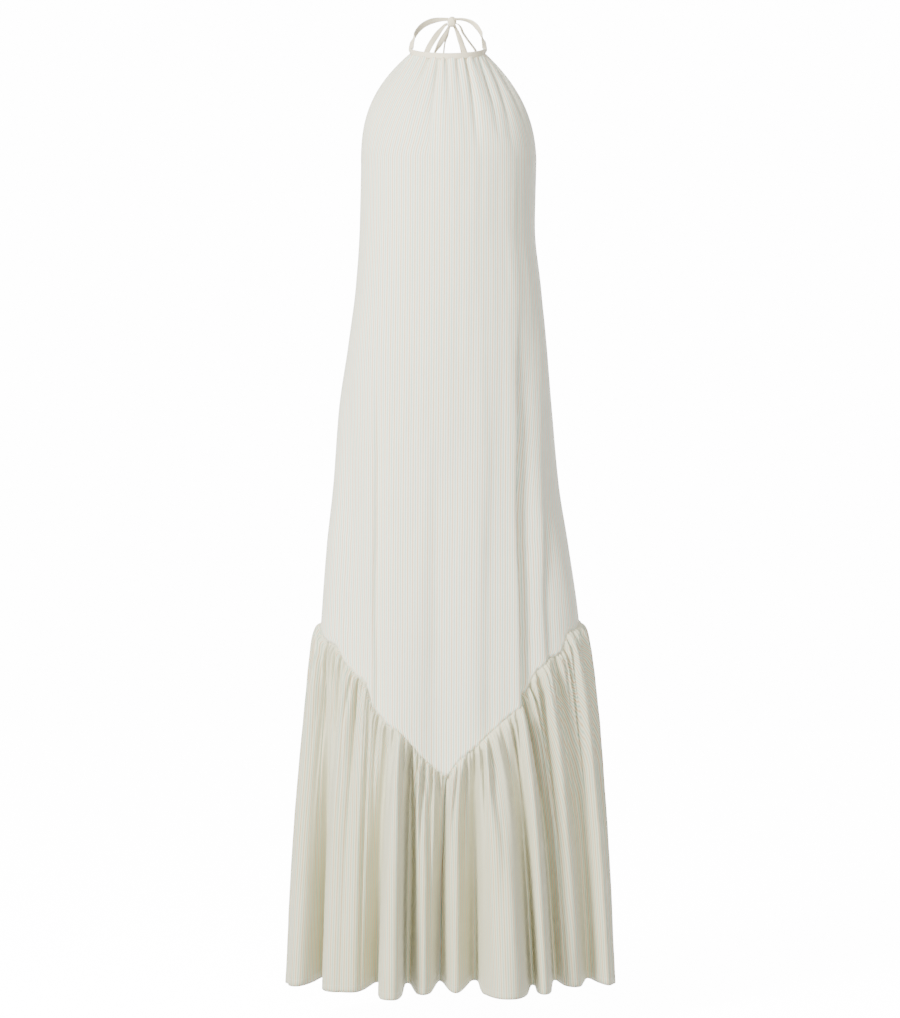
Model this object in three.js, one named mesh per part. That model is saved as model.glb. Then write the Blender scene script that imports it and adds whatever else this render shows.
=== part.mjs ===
// A halter-neck maxi dress in its filled-out form: a gathered front panel on a narrow neckband, a plain
// back panel, a deep gathered flounce below a V-shaped seam, and a neck tie knotted in a bow at the nape.
// Millimetres, +Z up. The front faces -Y, and left and right are as seen from the front.
// The origin is the middle of the neck opening, level with the neckband's top edge at centre front.
import * as THREE from "three";

// Driving sizes
const CLOTH = 1.6; // wall of the cloth panels
const SEAM_GAP = 0.3; // between two pieces at a seam
const SEAM_DROP = 0.6; // the same gap at the slanting flounce seam, measured straight down
const NECK = { x: -3.5, halfWidth: 57, sideY: -4, depth: 55 }; // ring that the neckband follows
const BAND = { width: 9.4, thick: 2.6, frontZ: -4.7, sideRise: 17 };
const BUST_Z = -165; // where the armholes end and the side seams start
const SEAM_V = { x: -5, z: -1101, leftZ: -874, rightZ: -870 }; // the flounce seam's point and its ends
const HEM = { z: -1431, halfWidth: 259, middleY: 12, halfDepth: 108, lift: 9, liftDepth: 55 };
const BACK_TOP = { sideZ: -165, middleZ: -205 };
const TIE = { width: 9.2, thick: 2 };

// Outline of the panels at each height: half widths to the left and right, depths to the front and back
const OUTLINE = [
  { z: -165, left: 138, right: 134, front: 119, back: 97 },
  { z: -260, left: 140, right: 132, front: 118, back: 96 },
  { z: -352, left: 146, right: 141, front: 116, back: 97 },
  { z: -445, left: 158, right: 150, front: 115, back: 101 },
  { z: -540, left: 172, right: 158, front: 115, back: 108 },
  { z: -660, left: 181, right: 169, front: 116, back: 114 },
  { z: -755, left: 191, right: 184, front: 117, back: 117 },
  { z: -880, left: 200, right: 201, front: 118, back: 119 },
  { z: -1100, left: 214, right: 214, front: 118, back: 120 },
];

// Gathers under the neckband: where each trough starts and ends across the panel (-1 to 1), how far down
// it runs (share of the way to the bust), its depth and its width there
const NECK_GATHERS = [
  { top: -0.92, end: -0.8, reach: 0.55, depth: 4, wide: 0.05 },
  { top: -0.62, end: -0.6, reach: 0.5, depth: 4.2, wide: 0.04 },
  { top: -0.35, end: -0.47, reach: 0.5, depth: 6.2, wide: 0.036 },
  { top: -0.165, end: -0.15, reach: 1.15, depth: 6, wide: 0.036 },
  { top: 0, end: 0, reach: 0.65, depth: 4.6, wide: 0.036 },
  { top: 0.16, end: 0.1, reach: 0.5, depth: 4, wide: 0.036 },
  { top: 0.33, end: 0.19, reach: 1.15, depth: 7.4, wide: 0.036 },
  { top: 0.62, end: 0.36, reach: 1, depth: 5.5, wide: 0.04 },
  { top: 0.82, end: 0.48, reach: 1.05, depth: 6, wide: 0.04 },
  { top: 0.96, end: 0.76, reach: 1, depth: 5.4, wide: 0.045 },
];

// Hanging folds in the panels: each trough's place at its top and at the flounce seam, its depth there,
// its width, and how far it leans under the cloth beside it
const FRONT_FOLDS = [
  { x: 111, z: -330, seamX: 130, depth: 25, wide: 10, lean: -0.4 },
  { x: 146, z: -430, seamX: 174, depth: 15, wide: 9, lean: -0.3 },
  { x: -110, z: -380, seamX: -113, depth: 8, wide: 5, lean: -0.5 },
  { x: -156, z: -400, seamX: -160, depth: 13, wide: 14, lean: 0 },
  { x: -18, z: -500, seamX: -20, depth: 9, wide: 16, lean: 0 },
  { x: 72, z: -300, seamX: 66, depth: 6, wide: 15, lean: 0 },
];
const BACK_FOLDS = [
  { x: 118, z: -360, seamX: 134, depth: 18, wide: 13, lean: 0.3 },
  { x: 40, z: -300, seamX: 44, depth: 7, wide: 16, lean: 0 },
  { x: -36, z: -420, seamX: -40, depth: 9, wide: 16, lean: 0 },
  { x: -112, z: -340, seamX: -128, depth: 16, wide: 12, lean: -0.3 },
];

// The hem's folds, once round from the centre front seam: the place of each crest, trough and side that
// stands out, the way the cloth heads there (degrees, 0 towards +X), how round it is, and where it springs from along the
// flounce seam (-1 to 1 across the front, 1 to 3 across the back)
const HEM_FOLDS = [
  { x: -15, y: -40, heading: 0, round: 7, seam: 0 },
  { x: 9, y: -96, heading: 355, round: 13, seam: 0.06 },
  { x: 38, y: -30, heading: 350, round: 8, seam: 0.12 },
  { x: 51, y: -98, heading: 292, round: 24, seam: 0.15 },
  { x: 95, y: -150, heading: 5, round: 26, seam: 0.205 },
  { x: 126, y: -50, heading: 15, round: 8, seam: 0.28 },
  { x: 143, y: -106, heading: 8, round: 15, seam: 0.35 },
  { x: 162, y: -22, heading: 12, round: 8, seam: 0.42 },
  { x: 190, y: -52, heading: 18, round: 22, seam: 0.54 },
  { x: 213, y: 4, heading: 30, round: 8, seam: 0.67 },
  { x: 247, y: -27, heading: 48, round: 17, seam: 0.8 },
  { x: 256, y: 16, heading: 90, round: 10, seam: 1 },
  { x: 243, y: 62, heading: 140, round: 18, seam: 1.2 },
  { x: 208, y: 50, heading: 165, round: 9, seam: 1.32 },
  { x: 184, y: 108, heading: 170, round: 22, seam: 1.44 },
  { x: 150, y: 68, heading: 176, round: 10, seam: 1.55 },
  { x: 116, y: 152, heading: 178, round: 28, seam: 1.68 },
  { x: 76, y: 82, heading: 180, round: 10, seam: 1.8 },
  { x: 44, y: 142, heading: 182, round: 19, seam: 1.9 },
  { x: 12, y: 78, heading: 180, round: 9, seam: 2 },
  { x: -24, y: 156, heading: 178, round: 26, seam: 2.11 },
  { x: -62, y: 80, heading: 182, round: 10, seam: 2.22 },
  { x: -98, y: 158, heading: 184, round: 27, seam: 2.34 },
  { x: -136, y: 74, heading: 184, round: 10, seam: 2.47 },
  { x: -166, y: 116, heading: 188, round: 19, seam: 2.58 },
  { x: -196, y: 54, heading: 196, round: 9, seam: 2.7 },
  { x: -231, y: 74, heading: 216, round: 18, seam: 2.82 },
  { x: -256, y: 22, heading: 270, round: 10, seam: 3 },
  { x: -237, y: -38, heading: 333, round: 20, seam: 3.21 },
  { x: -190, y: 13, heading: 342, round: 8, seam: 3.31 },
  { x: -194, y: -68, heading: 305, round: 16, seam: 3.38 },
  { x: -152, y: -88, heading: 0, round: 24, seam: 3.55 },
  { x: -112, y: -40, heading: 345, round: 8, seam: 3.71 },
  { x: -109, y: -112, heading: 278, round: 24, seam: 3.745 },
  { x: -86, y: -153, heading: 4, round: 20, seam: 3.785 },
  { x: -66, y: -48, heading: 350, round: 7, seam: 3.84 },
  { x: -39, y: -110, heading: 5, round: 13, seam: 3.91 },
];
// How far the gathered seam rises above its smooth line, by its place across a panel.
const SEAM_STEPS = [
  { across: -1, rise: 2 }, { across: -0.8, rise: 5 }, { across: -0.67, rise: 14 },
  { across: -0.59, rise: 1 }, { across: -0.52, rise: 3 }, { across: -0.43, rise: 12 },
  { across: -0.37, rise: -9 }, { across: -0.3, rise: -10 }, { across: -0.2, rise: -1 },
  { across: -0.09, rise: -6 }, { across: 0, rise: -1 }, { across: 0.06, rise: 6 },
  { across: 0.14, rise: 1 }, { across: 0.3, rise: -2 }, { across: 0.38, rise: -10 },
  { across: 0.47, rise: -11 }, { across: 0.52, rise: 6 }, { across: 0.6, rise: 5 },
  { across: 0.7, rise: -5 }, { across: 0.78, rise: 13 }, { across: 0.88, rise: 6 },
  { across: 1, rise: 1 },
];
const FLOUNCE_ROWS = 8;
const SEAM_GATHER = { depth: 2, reach: 40 }; // small gathers just under the seam
const PUFF = { out: 7.5, reach: 62, lessAtSides: 0.75 }; // how far the gathered cloth stands out under the seam

const FRONT_GRID = { columns: 60, rowsAbove: 5, rowsBelow: 7 };
const BACK_GRID = { columns: 34, rows: 8 };
const FLOUNCES = [
  { name: "flounce_front_right", from: 0, columns: FRONT_GRID.columns },
  { name: "flounce_back_right", from: 1, columns: (BACK_GRID.columns * 3) / 2 },
  { name: "flounce_back_left", from: 2, columns: (BACK_GRID.columns * 3) / 2 },
  { name: "flounce_front_left", from: 3, columns: FRONT_GRID.columns },
];

// The bow at the nape. Each loop and free end leaves the knot in a direction and follows its route. Its
// width lies along x or y: lies gives rows of the share of the length, x and y. The ties of the neckband
// meet the knot at tieRise above its middle.
const KNOT = { x: 3, y: 66, z: 70, halfX: 7, halfY: 5.2, halfZ: 8.4, tieRise: 4 };
const BOW_LOOPS = [
  {
    name: "bow_loop_left",
    leaves: [-0.9, 0.1, -0.4],
    route: [
      [-8.4, 68, 64.9], [-13.5, 70, 59.5], [-19, 72, 53], [-28.4, 74, 39.5], [-36, 76, 25.5],
      [-41, 78, 9], [-43, 79.5, -6], [-38.5, 81, -16], [-32, 82, -8], [-28.5, 82.5, 8], [-23.7, 81.5, 24],
      [-16.6, 80, 36.5], [-10.5, 78, 47], [-5.8, 76, 55], [-2.6, 73, 61],
    ],
    lies: [[0, 1, 0], [0.28, 1, 0], [0.42, 0.25, 1], [0.74, 0.3, 1], [0.85, 1, 0.3], [1, 1, 0.2]],
    returns: [-0.45, 0.5, -0.74],
  },
  {
    name: "bow_loop_right",
    leaves: [0.9, 0.1, -0.4],
    route: [
      [13.6, 68, 65.4], [17.2, 70, 60.5], [20.5, 72, 53], [29.8, 74, 40], [39.5, 76, 27],
      [45, 78, 12], [48, 79.5, -6], [43.5, 81, -16], [36.5, 82, -8], [30.5, 82.5, 6], [25, 81.5, 21],
      [19.8, 80, 35], [15.6, 78, 46], [12, 76, 55], [8.8, 73, 61],
    ],
    lies: [[0, 0.5, 1], [0.04, 0.12, 1], [0.56, 0.12, 1], [0.68, 1, 0.5], [1, 1, 0.5]],
    returns: [0.45, 0.5, -0.74],
  },
];
const TIE_TAILS = [
  {
    name: "tie_tail_left",
    leaves: [-0.42, 0.9, -0.1],
    route: [
      [-0.1, 74.3, 68.6], [-1.4, 77.6, 65], [-3.8, 81.4, 58], [-6.8, 84.6, 47], [-9.5, 86.8, 33],
      [-11, 88, 12], [-12, 89, -14], [-14, 90, -42], [-17, 90.5, -72], [-20, 91, -102],
      [-21, 91.5, -132], [-20, 92, -158],
    ],
    lies: [[0, 1, 0], [0.06, 1, 0], [0.16, 0.15, 1], [0.26, 0.15, 1], [0.4, 1, 0], [1, 1, 0.2]],
  },
  {
    name: "tie_tail_right",
    leaves: [0.42, 0.9, -0.1],
    route: [
      [6.1, 74.3, 68.6], [7.6, 77.6, 65], [10.6, 81.4, 58], [14.8, 84.6, 47], [19, 86.8, 33],
      [23, 88, 12], [26, 89, -14], [28, 90, -42], [29, 90.5, -72], [28, 91, -102], [25, 91.5, -132],
      [23, 92, -164],
    ],
    lies: [[0, 1, 0], [0.1, 1, 0], [0.2, 1, 0.6], [0.4, 1, 0.6], [1, 1, -0.2]],
  },
];

const RIGHT_ANGLE = Math.PI / 2;
const cloth = (color) => new THREE.MeshStandardMaterial({ color, roughness: 0.85, metalness: 0 });
const STRIPED = cloth(0xe3e3d9);
const PLAIN = cloth(0xe2dfd3);

const mix = (a, b, share) => a + (b - a) * share;
const limit = (value, low, high) => Math.min(high, Math.max(low, value));
const ease = (share) => {
  const t = limit(share, 0, 1);
  return t * t * (3 - 2 * t);
};

// A smooth curve through (places[i], values[i]) that never overshoots: its slope is zero at each turn.
function smoothThrough(places, values) {
  const steps = places.slice(1).map((p, i) => (values[i + 1] - values[i]) / (p - places[i]));
  const slopes = places.map((_, i) => {
    if (i === 0) return steps[0];
    if (i === places.length - 1) return steps[i - 1];
    const [before, after] = [steps[i - 1], steps[i]];
    return before * after > 0 ? (2 * before * after) / (before + after) : 0;
  });
  return (place) => {
    let i = 0;
    while (i < places.length - 2 && place > places[i + 1]) i += 1;
    const span = places[i + 1] - places[i];
    const t = limit((place - places[i]) / span, 0, 1);
    const [t2, t3] = [t * t, t * t * t];
    return (
      values[i] * (2 * t3 - 3 * t2 + 1) +
      values[i + 1] * (3 * t2 - 2 * t3) +
      slopes[i] * span * (t3 - 2 * t2 + t) +
      slopes[i + 1] * span * (t3 - t2)
    );
  };
}

const heights = OUTLINE.map((row) => -row.z);
const outlineOf = Object.fromEntries(
  ["left", "right", "front", "back"].map((side) => {
    const curve = smoothThrough(heights, OUTLINE.map((row) => row[side]));
    return [side, (z) => curve(-z)];
  }),
);

// Share of the way round a panel's section at across, from the middle to the side.
const ARC_STEPS = 80;
const sectionArc = (() => {
  const widest = OUTLINE[OUTLINE.length - 2];
  const lengths = [0];
  for (let i = 1; i <= ARC_STEPS; i += 1) {
    const [a, b] = [(i - 1) / ARC_STEPS, i / ARC_STEPS].map((u) => RIGHT_ANGLE * u);
    const dx = widest.right * (Math.sin(b) - Math.sin(a));
    const dy = widest.front * (Math.cos(b) ** 0.75 - Math.cos(a) ** 0.75);
    lengths.push(lengths[i - 1] + Math.hypot(dx, dy));
  }
  return (across) => {
    const at = Math.abs(across) * ARC_STEPS;
    const i = Math.min(ARC_STEPS - 1, Math.floor(at));
    return mix(lengths[i], lengths[i + 1], at - i) / lengths[ARC_STEPS];
  };
})();

// Height of the flounce seam: two straight cuts that meet in a point.
const seamStep = smoothThrough(
  SEAM_STEPS.map((step) => step.across),
  SEAM_STEPS.map((step) => step.rise),
);
const seamZ = (across) => {
  const share = (sectionArc(across) + Math.abs(Math.sin(RIGHT_ANGLE * across))) / 2;
  return mix(SEAM_V.z, across < 0 ? SEAM_V.leftZ : SEAM_V.rightZ, share) + seamStep(across);
};

// A point on a panel's smooth section. Facing is -1 on the front and 1 on the back.
function sectionPoint(across, z, facing) {
  const turn = RIGHT_ANGLE * across;
  const wide = across < 0 ? outlineOf.left(z) : outlineOf.right(z);
  const deep = facing < 0 ? outlineOf.front(z) : outlineOf.back(z);
  const toPoint = ease((z - BUST_Z) / (SEAM_V.z - BUST_Z));
  const x = wide * Math.sin(turn) + SEAM_V.x * toPoint * Math.cos(turn) ** 2;
  return new THREE.Vector3(x, facing * deep * Math.max(0, Math.cos(turn)) ** 0.75, z);
}

// The neckband's line: its middle height across the front.
function neckPoint(across) {
  const turn = RIGHT_ANGLE * across;
  return new THREE.Vector3(
    NECK.x + NECK.halfWidth * Math.sin(turn),
    NECK.sideY - NECK.depth * Math.cos(turn),
    BAND.frontZ + BAND.sideRise * (1 - Math.cos(turn)),
  );
}

// How far a panel's hanging folds push it in at x and z, and how far they carry it sideways.
function foldPush(folds, x, z, seamAt) {
  let inward = 0;
  let sideways = 0;
  for (const fold of folds) {
    const down = limit((z - fold.z) / (seamAt - fold.z), 0, 1);
    const from = (x - mix(fold.x, fold.seamX, down)) / (fold.wide * (0.8 + 0.5 * down));
    const steep = from < 0 ? from : from * 0.45;
    const push = fold.depth * ease(down * 1.5) * Math.exp(-steep * steep);
    inward += push;
    sideways += push * fold.lean;
  }
  return { inward, sideways };
}

// How far the gathers under the neckband push the front in, at a share down from the band to the bust.
function gatherPush(across, down) {
  return NECK_GATHERS.reduce((sum, gather) => {
    const middle = mix(gather.top, gather.end, Math.min(1, down));
    const from = (across - middle) / (gather.wide * (1 + 0.5 * down));
    const grown = 0.4 + 0.6 * ease(down / 0.16);
    return sum + gather.depth * grown * (1 - ease(down / gather.reach)) * Math.exp(-from * from);
  }, 0);
}

// The front panel at across (-1 to 1), above the bust: down is 0 at the neckband and 1 at the bust.
function frontAbove(across, down) {
  const top = neckPoint(across);
  const rise = (BAND.sideRise * Math.sin(RIGHT_ANGLE * across)) / NECK.depth;
  top.z -= (BAND.width / 2 + SEAM_GAP) * Math.hypot(1, rise) + 0.1;
  const bust = sectionPoint(across, BUST_Z, -1);
  const z = mix(top.z, BUST_Z, down);
  const bulge = mix(1.15, across < 0 ? 2.5 : 2.15, across ** 4);
  const x = mix(top.x, bust.x, 1 - (1 - down) ** bulge);
  const forward = 24 * Math.sin(Math.PI * down) * across ** 2;
  const y = mix(top.y, bust.y, 1 - (1 - down) ** 1.7) - forward;
  const folds = foldPush(FRONT_FOLDS, x, z, seamZ(across));
  return settle(new THREE.Vector3(x, y, z), across, -1, {
    inward: folds.inward + gatherPush(across, down),
    sideways: folds.sideways,
  });
}

// A panel below the bust: down is 0 at the bust and 1 at the flounce seam.
function panelBelow(across, down, facing, folds, fromZ = BUST_Z) {
  const seamAt = seamZ(across);
  const z = mix(fromZ, seamAt, down);
  const point = sectionPoint(across, z, facing);
  const { inward, sideways } = foldPush(folds, point.x, z, seamAt);
  const gathers = facing < 0 ? gatherPush(across, 1 + (BUST_Z - z) / (BAND.frontZ - BUST_Z)) : 0;
  return settle(point, across, facing, { inward: inward + gathers, sideways });
}

// Moves a point of a panel in and sideways; both die away at the side seams and armholes.
function settle(point, across, facing, { inward, sideways }) {
  const turn = RIGHT_ANGLE * across;
  const share = 1 - Math.abs(across) ** 10;
  const normal = new THREE.Vector2(Math.sin(turn), facing * Math.cos(turn));
  const along = new THREE.Vector2(Math.cos(turn), -facing * Math.sin(turn));
  point.x += share * (along.x * sideways - normal.x * inward);
  point.y += share * (along.y * sideways - normal.y * inward);
  return point;
}

const frontPoint = (across, down) => panelBelow(across, down, -1, FRONT_FOLDS);
const backTopZ = (across) => mix(BACK_TOP.middleZ, BACK_TOP.sideZ, across ** 2);
const backPoint = (across, down) => panelBelow(across, down, 1, BACK_FOLDS, backTopZ(across));

// The inner face of a sheet: its points pushed in along their normals.
const innerFace = (sheet, normals) =>
  sheet.map((line, i) => line.map((p, j) => p.clone().addScaledVector(normals[i][j], -CLOTH)));

// Closes an outer and an inner sheet, both [row][column], into one wall.
function clothWall(outer, inner) {
  const [rows, columns] = [outer.length, outer[0].length];
  const points = [...outer.flat(), ...inner.flat()].flatMap((p) => [p.x, p.y, p.z]);
  const outside = (i, j) => i * columns + j;
  const inside = (i, j) => rows * columns + outside(i, j);
  const faces = [];
  const quad = (a, b, c, d) => faces.push(a, b, c, a, c, d);
  for (let i = 0; i < rows - 1; i += 1) {
    for (let j = 0; j < columns - 1; j += 1) {
      quad(outside(i, j), outside(i + 1, j), outside(i + 1, j + 1), outside(i, j + 1));
      quad(inside(i, j), inside(i, j + 1), inside(i + 1, j + 1), inside(i + 1, j));
    }
    quad(outside(i, 0), inside(i, 0), inside(i + 1, 0), outside(i + 1, 0));
    const last = columns - 1;
    quad(outside(i, last), outside(i + 1, last), inside(i + 1, last), inside(i, last));
  }
  for (let j = 0; j < columns - 1; j += 1) {
    quad(outside(0, j), outside(0, j + 1), inside(0, j + 1), inside(0, j));
    const last = rows - 1;
    quad(outside(last, j), inside(last, j), inside(last, j + 1), outside(last, j + 1));
  }
  return new THREE.BufferGeometry()
    .setAttribute("position", new THREE.Float32BufferAttribute(points, 3))
    .setIndex(faces);
}

// Outward normals of a sheet whose columns run to the viewer's right on the outside.
function sheetNormals(sheet, ring = false) {
  const [rows, columns] = [sheet.length, sheet[0].length];
  return sheet.map((line, i) =>
    line.map((_, j) => {
      const before = ring ? (j + columns - 2) % (columns - 1) : Math.max(0, j - 1);
      const after = ring ? (j + 1) % (columns - 1) : Math.min(columns - 1, j + 1);
      const along = line[after].clone().sub(line[before]);
      const down = sheet[Math.min(rows - 1, i + 1)][j].clone().sub(sheet[Math.max(0, i - 1)][j]);
      return down.cross(along).normalize();
    }),
  );
}

// A panel's sheet ends in flat faces at the side seams, clear of the other panel by the seam gap.
function finishSides(sheet, normals, facing) {
  sheet.forEach((line, i) =>
    [0, line.length - 1].forEach((j) => {
      if (line[j].z > BUST_Z + 1) return;
      line[j].y = (facing * SEAM_GAP) / 2;
      normals[i][j].setY(0).normalize();
    }),
  );
}

function frontPanel() {
  const { columns, rowsAbove, rowsBelow } = FRONT_GRID;
  const across = (j) => (2 * j) / columns - 1;
  const rows = [];
  for (let i = 0; i < rowsAbove; i += 1) rows.push((u) => frontAbove(u, (i / rowsAbove) ** 1.25));
  for (let i = 0; i <= rowsBelow; i += 1) rows.push((u) => frontPoint(u, i / rowsBelow));
  const sheet = rows.map((row) => Array.from({ length: columns + 1 }, (_, j) => row(across(j))));
  const normals = sheetNormals(sheet);
  finishSides(sheet, normals, -1);
  return { outer: sheet, inner: innerFace(sheet, normals) };
}

function backPanel() {
  const { columns, rows } = BACK_GRID;
  const sheet = Array.from({ length: rows + 1 }, (_, i) =>
    Array.from({ length: columns + 1 }, (__, j) => backPoint(1 - (2 * j) / columns, i / rows)),
  );
  const normals = sheetNormals(sheet);
  finishSides(sheet, normals, 1);
  return { outer: sheet, inner: innerFace(sheet, normals) };
}

// The lower edge of both panels as one ring: place is -1 to 1 across the front and 1 to 3 across the back.
function lowerEdge(front, back) {
  return (place, face = "outer") => {
    const wrapped = place > 3 ? place - 4 : place;
    const onFront = wrapped <= 1;
    const edge = (onFront ? front : back)[face].at(-1);
    const at = ((onFront ? wrapped + 1 : wrapped - 1) / 2) * (edge.length - 1);
    const i = limit(Math.floor(at), 0, edge.length - 2);
    return edge[i].clone().lerp(edge[i + 1], at - i);
  };
}

// The hem's folded line as one closed run of curves, and the share of its cloth at each crest and trough.
function hemLine() {
  const line = new THREE.CurvePath();
  const handle = ({ x, y, heading, round }, side) => {
    const angle = THREE.MathUtils.degToRad(heading);
    return new THREE.Vector2(x + side * round * Math.cos(angle), y + side * round * Math.sin(angle));
  };
  HEM_FOLDS.forEach((fold, i) => {
    const next = HEM_FOLDS[(i + 1) % HEM_FOLDS.length];
    line.add(
      new THREE.CubicBezierCurve(
        new THREE.Vector2(fold.x, fold.y),
        handle(fold, 1),
        handle(next, -1),
        new THREE.Vector2(next.x, next.y),
      ),
    );
  });
  return { line, lengths: [0, ...line.getCurveLengths()] };
}

// Where a crest or trough stands on the smooth ring that the hem's folds swing about.
const ringPlaceOf = ({ x, seam }) => {
  const across = Math.asin(limit(x / HEM.halfWidth, -1, 1)) / RIGHT_ANGLE;
  if ([1, 3].includes(seam)) return seam;
  if (seam < 1) return across;
  return seam < 3 ? 2 - across : 4 + across;
};
function ringPoint(place) {
  const turn = RIGHT_ANGLE * place;
  return new THREE.Vector2(
    HEM.halfWidth * Math.sin(turn),
    HEM.middleY - HEM.halfDepth * Math.sign(Math.cos(turn)) * Math.abs(Math.cos(turn)) ** 0.75,
  );
}

// The flounce at a place round the seam (0 to 4 from centre front) and a share of the way down.
function flounceShape(edgeAt) {
  const { line, lengths } = hemLine();
  const total = lengths.at(-1);
  const closed = [...HEM_FOLDS, { ...HEM_FOLDS[0], seam: 4 }];
  const seams = closed.map((fold) => fold.seam);
  const clothAt = smoothThrough(seams, lengths);
  const ringPlace = smoothThrough(seams, closed.map(ringPlaceOf));
  return {
    innerTop(place) {
      const inner = edgeAt(place, "inner");
      inner.z -= SEAM_DROP;
      return inner;
    },
    pointAt(place, down, gather) {
      const top = edgeAt(place);
      const ring = ringPoint(ringPlace(place));
      const hem = line.getPointAt(limit(clothAt(place) / total, 0, 1));
      const fold = hem.clone().sub(ring);
      const turn = RIGHT_ANGLE * ringPlace(place);
      const outward = new THREE.Vector2(Math.sin(turn), -Math.cos(turn));
      const inside = limit(-fold.dot(outward) / HEM.liftDepth, 0, 1);
      const hemZ = HEM.z + HEM.lift * inside;
      const z = mix(top.z - SEAM_DROP, hemZ, down);
      const below = top.z - z;
      const spread = 0.64 * (1 - (1 - down) ** 3) + 0.36 * down ** 1.5;
      const folded = down ** 0.6;
      const small = gather * SEAM_GATHER.depth * Math.exp(-below / SEAM_GATHER.reach);
      const puffed = PUFF.out * (1 - PUFF.lessAtSides * outward.x ** 4);
      const puff = puffed * (1 - Math.exp(-below / 8)) * Math.exp(-below / PUFF.reach);
      const push = small + puff;
      return new THREE.Vector3(
        mix(top.x, ring.x, spread) + fold.x * folded + outward.x * push,
        mix(top.y, ring.y, spread) + fold.y * folded + outward.y * push,
        z,
      );
    },
  };
}

// The four flounce pieces, cut from one continuous ring so that their ends meet.
function flouncePieces(front, back) {
  const shape = flounceShape(lowerEdge(front, back));
  const places = [];
  const cuts = FLOUNCES.map(({ from, columns }) => {
    const first = places.length;
    for (let j = 0; j < columns; j += 1) places.push(from + j / columns);
    return { first, last: first + columns };
  });
  places.push(4);
  const rows = Array.from({ length: FLOUNCE_ROWS + 1 }, (_, i) => (i / FLOUNCE_ROWS) ** 1.7);
  const gather = (j, down) => (down === 0 ? 0 : 1 - 2 * (j % 2));
  const ring = rows.map((down) => places.map((at, j) => shape.pointAt(at, down, gather(j, down))));
  const innerRing = innerFace(ring, sheetNormals(ring, true));
  innerRing[0] = places.map(shape.innerTop);
  return FLOUNCES.map(({ name }, k) => {
    const { first, last } = cuts[k];
    const [outer, inner] = [ring, innerRing].map((sheet) =>
      sheet.map((line) => partedEnds(line.slice(first, last + 1))),
    );
    return { name, geometry: clothWall(outer, inner) };
  });
}

// A row of points with its two ends drawn in by half the seam gap.
function partedEnds(line) {
  const drawnIn = (end, next) =>
    end.clone().addScaledVector(next.clone().sub(end).normalize(), SEAM_GAP / 2);
  return [drawnIn(line[0], line[1]), ...line.slice(1, -1), drawnIn(line.at(-1), line.at(-2))];
}

// A flat strip swept along a curve. Facing gives the side it shows, or lies the direction of its width.
// Narrow tapers its ends, and start is its direction at its first end where a seam sets it.
function strip(curve, { width, thick, steps, facing, lies, narrow = () => 1, start }) {
  const section = [
    [0.5, 0.25], [0.5 - thick / width / 3, 0.5], [thick / width / 3 - 0.5, 0.5], [-0.5, 0.25],
    [-0.5, -0.25], [thick / width / 3 - 0.5, -0.5], [0.5 - thick / width / 3, -0.5], [0.5, -0.25],
  ];
  const points = [];
  const faces = [];
  const sides = section.length;
  for (let i = 0; i <= steps; i += 1) {
    const t = i / steps;
    const middle = curve.getPointAt(t);
    const along = i === 0 && start ? start.clone() : curve.getTangentAt(t);
    const across = lies ? crossways(lies(t), along) : along.clone().cross(facing(t, middle)).normalize();
    const out = across.clone().cross(along).normalize();
    section.forEach(([u, v]) => {
      const p = middle.clone();
      p.addScaledVector(across, u * width * narrow(t));
      p.addScaledVector(out, v * thick);
      points.push(p.x, p.y, p.z);
    });
  }
  for (let i = 0; i < steps; i += 1) {
    for (let k = 0; k < sides; k += 1) {
      const [a, b] = [i * sides + k, i * sides + ((k + 1) % sides)];
      faces.push(a, a + sides, b + sides, a, b + sides, b);
    }
  }
  const last = steps * sides;
  for (let k = 1; k < sides - 1; k += 1) {
    faces.push(0, k, k + 1);
    faces.push(last, last + k + 1, last + k);
  }
  return new THREE.BufferGeometry()
    .setAttribute("position", new THREE.Float32BufferAttribute(points, 3))
    .setIndex(faces);
}

const crossways = (side, along) => side.addScaledVector(along, -side.dot(along)).normalize();
const layOf = (rows) => (t) => {
  const next = Math.max(1, rows.findIndex(([share]) => share >= t));
  const [[from, ...a], [to, ...b]] = [rows[next - 1], rows[next]];
  const share = ease((t - from) / (to - from));
  return new THREE.Vector3(mix(a[0], b[0], share), mix(a[1], b[1], share), 0);
};
const fromNeck = (t, p) => new THREE.Vector3(p.x - NECK.x, p.y - NECK.sideY, 0).normalize();
const curveThrough = (points) =>
  new THREE.CatmullRomCurve3(points.map((p) => (Array.isArray(p) ? new THREE.Vector3(...p) : p)));

const BAND_STEPS = 28;
function neckband() {
  const points = Array.from({ length: BAND_STEPS + 1 }, (_, i) => neckPoint((2 * i) / BAND_STEPS - 1));
  const { width, thick } = BAND;
  return strip(curveThrough(points), { width, thick, steps: BAND_STEPS, facing: fromNeck });
}

// The tie from one end of the neckband up and round the neck to the knot.
const TIE_STEPS = 18;
function neckTie(side) {
  const start = new THREE.Vector3(0, NECK.depth, BAND.sideRise).normalize();
  const from = neckPoint(side).addScaledVector(start, SEAM_GAP);
  const knotEdge = KNOT.x + side * (KNOT.halfX + SEAM_GAP);
  const points = Array.from({ length: TIE_STEPS + 1 }, (_, i) => {
    const turn = (RIGHT_ANGLE * i) / TIE_STEPS;
    return new THREE.Vector3(
      mix(knotEdge, from.x, Math.cos(turn)),
      mix(from.y, KNOT.y, Math.sin(turn)),
      mix(from.z, KNOT.z + KNOT.tieRise, 1 - (1 - Math.sin(turn)) ** 1.2),
    );
  });
  return strip(curveThrough(points), {
    ...TIE,
    steps: TIE_STEPS,
    facing: fromNeck,
    narrow: (t) => 1 - 0.4 * ease((t - 0.75) / 0.25),
    start,
  });
}

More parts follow.
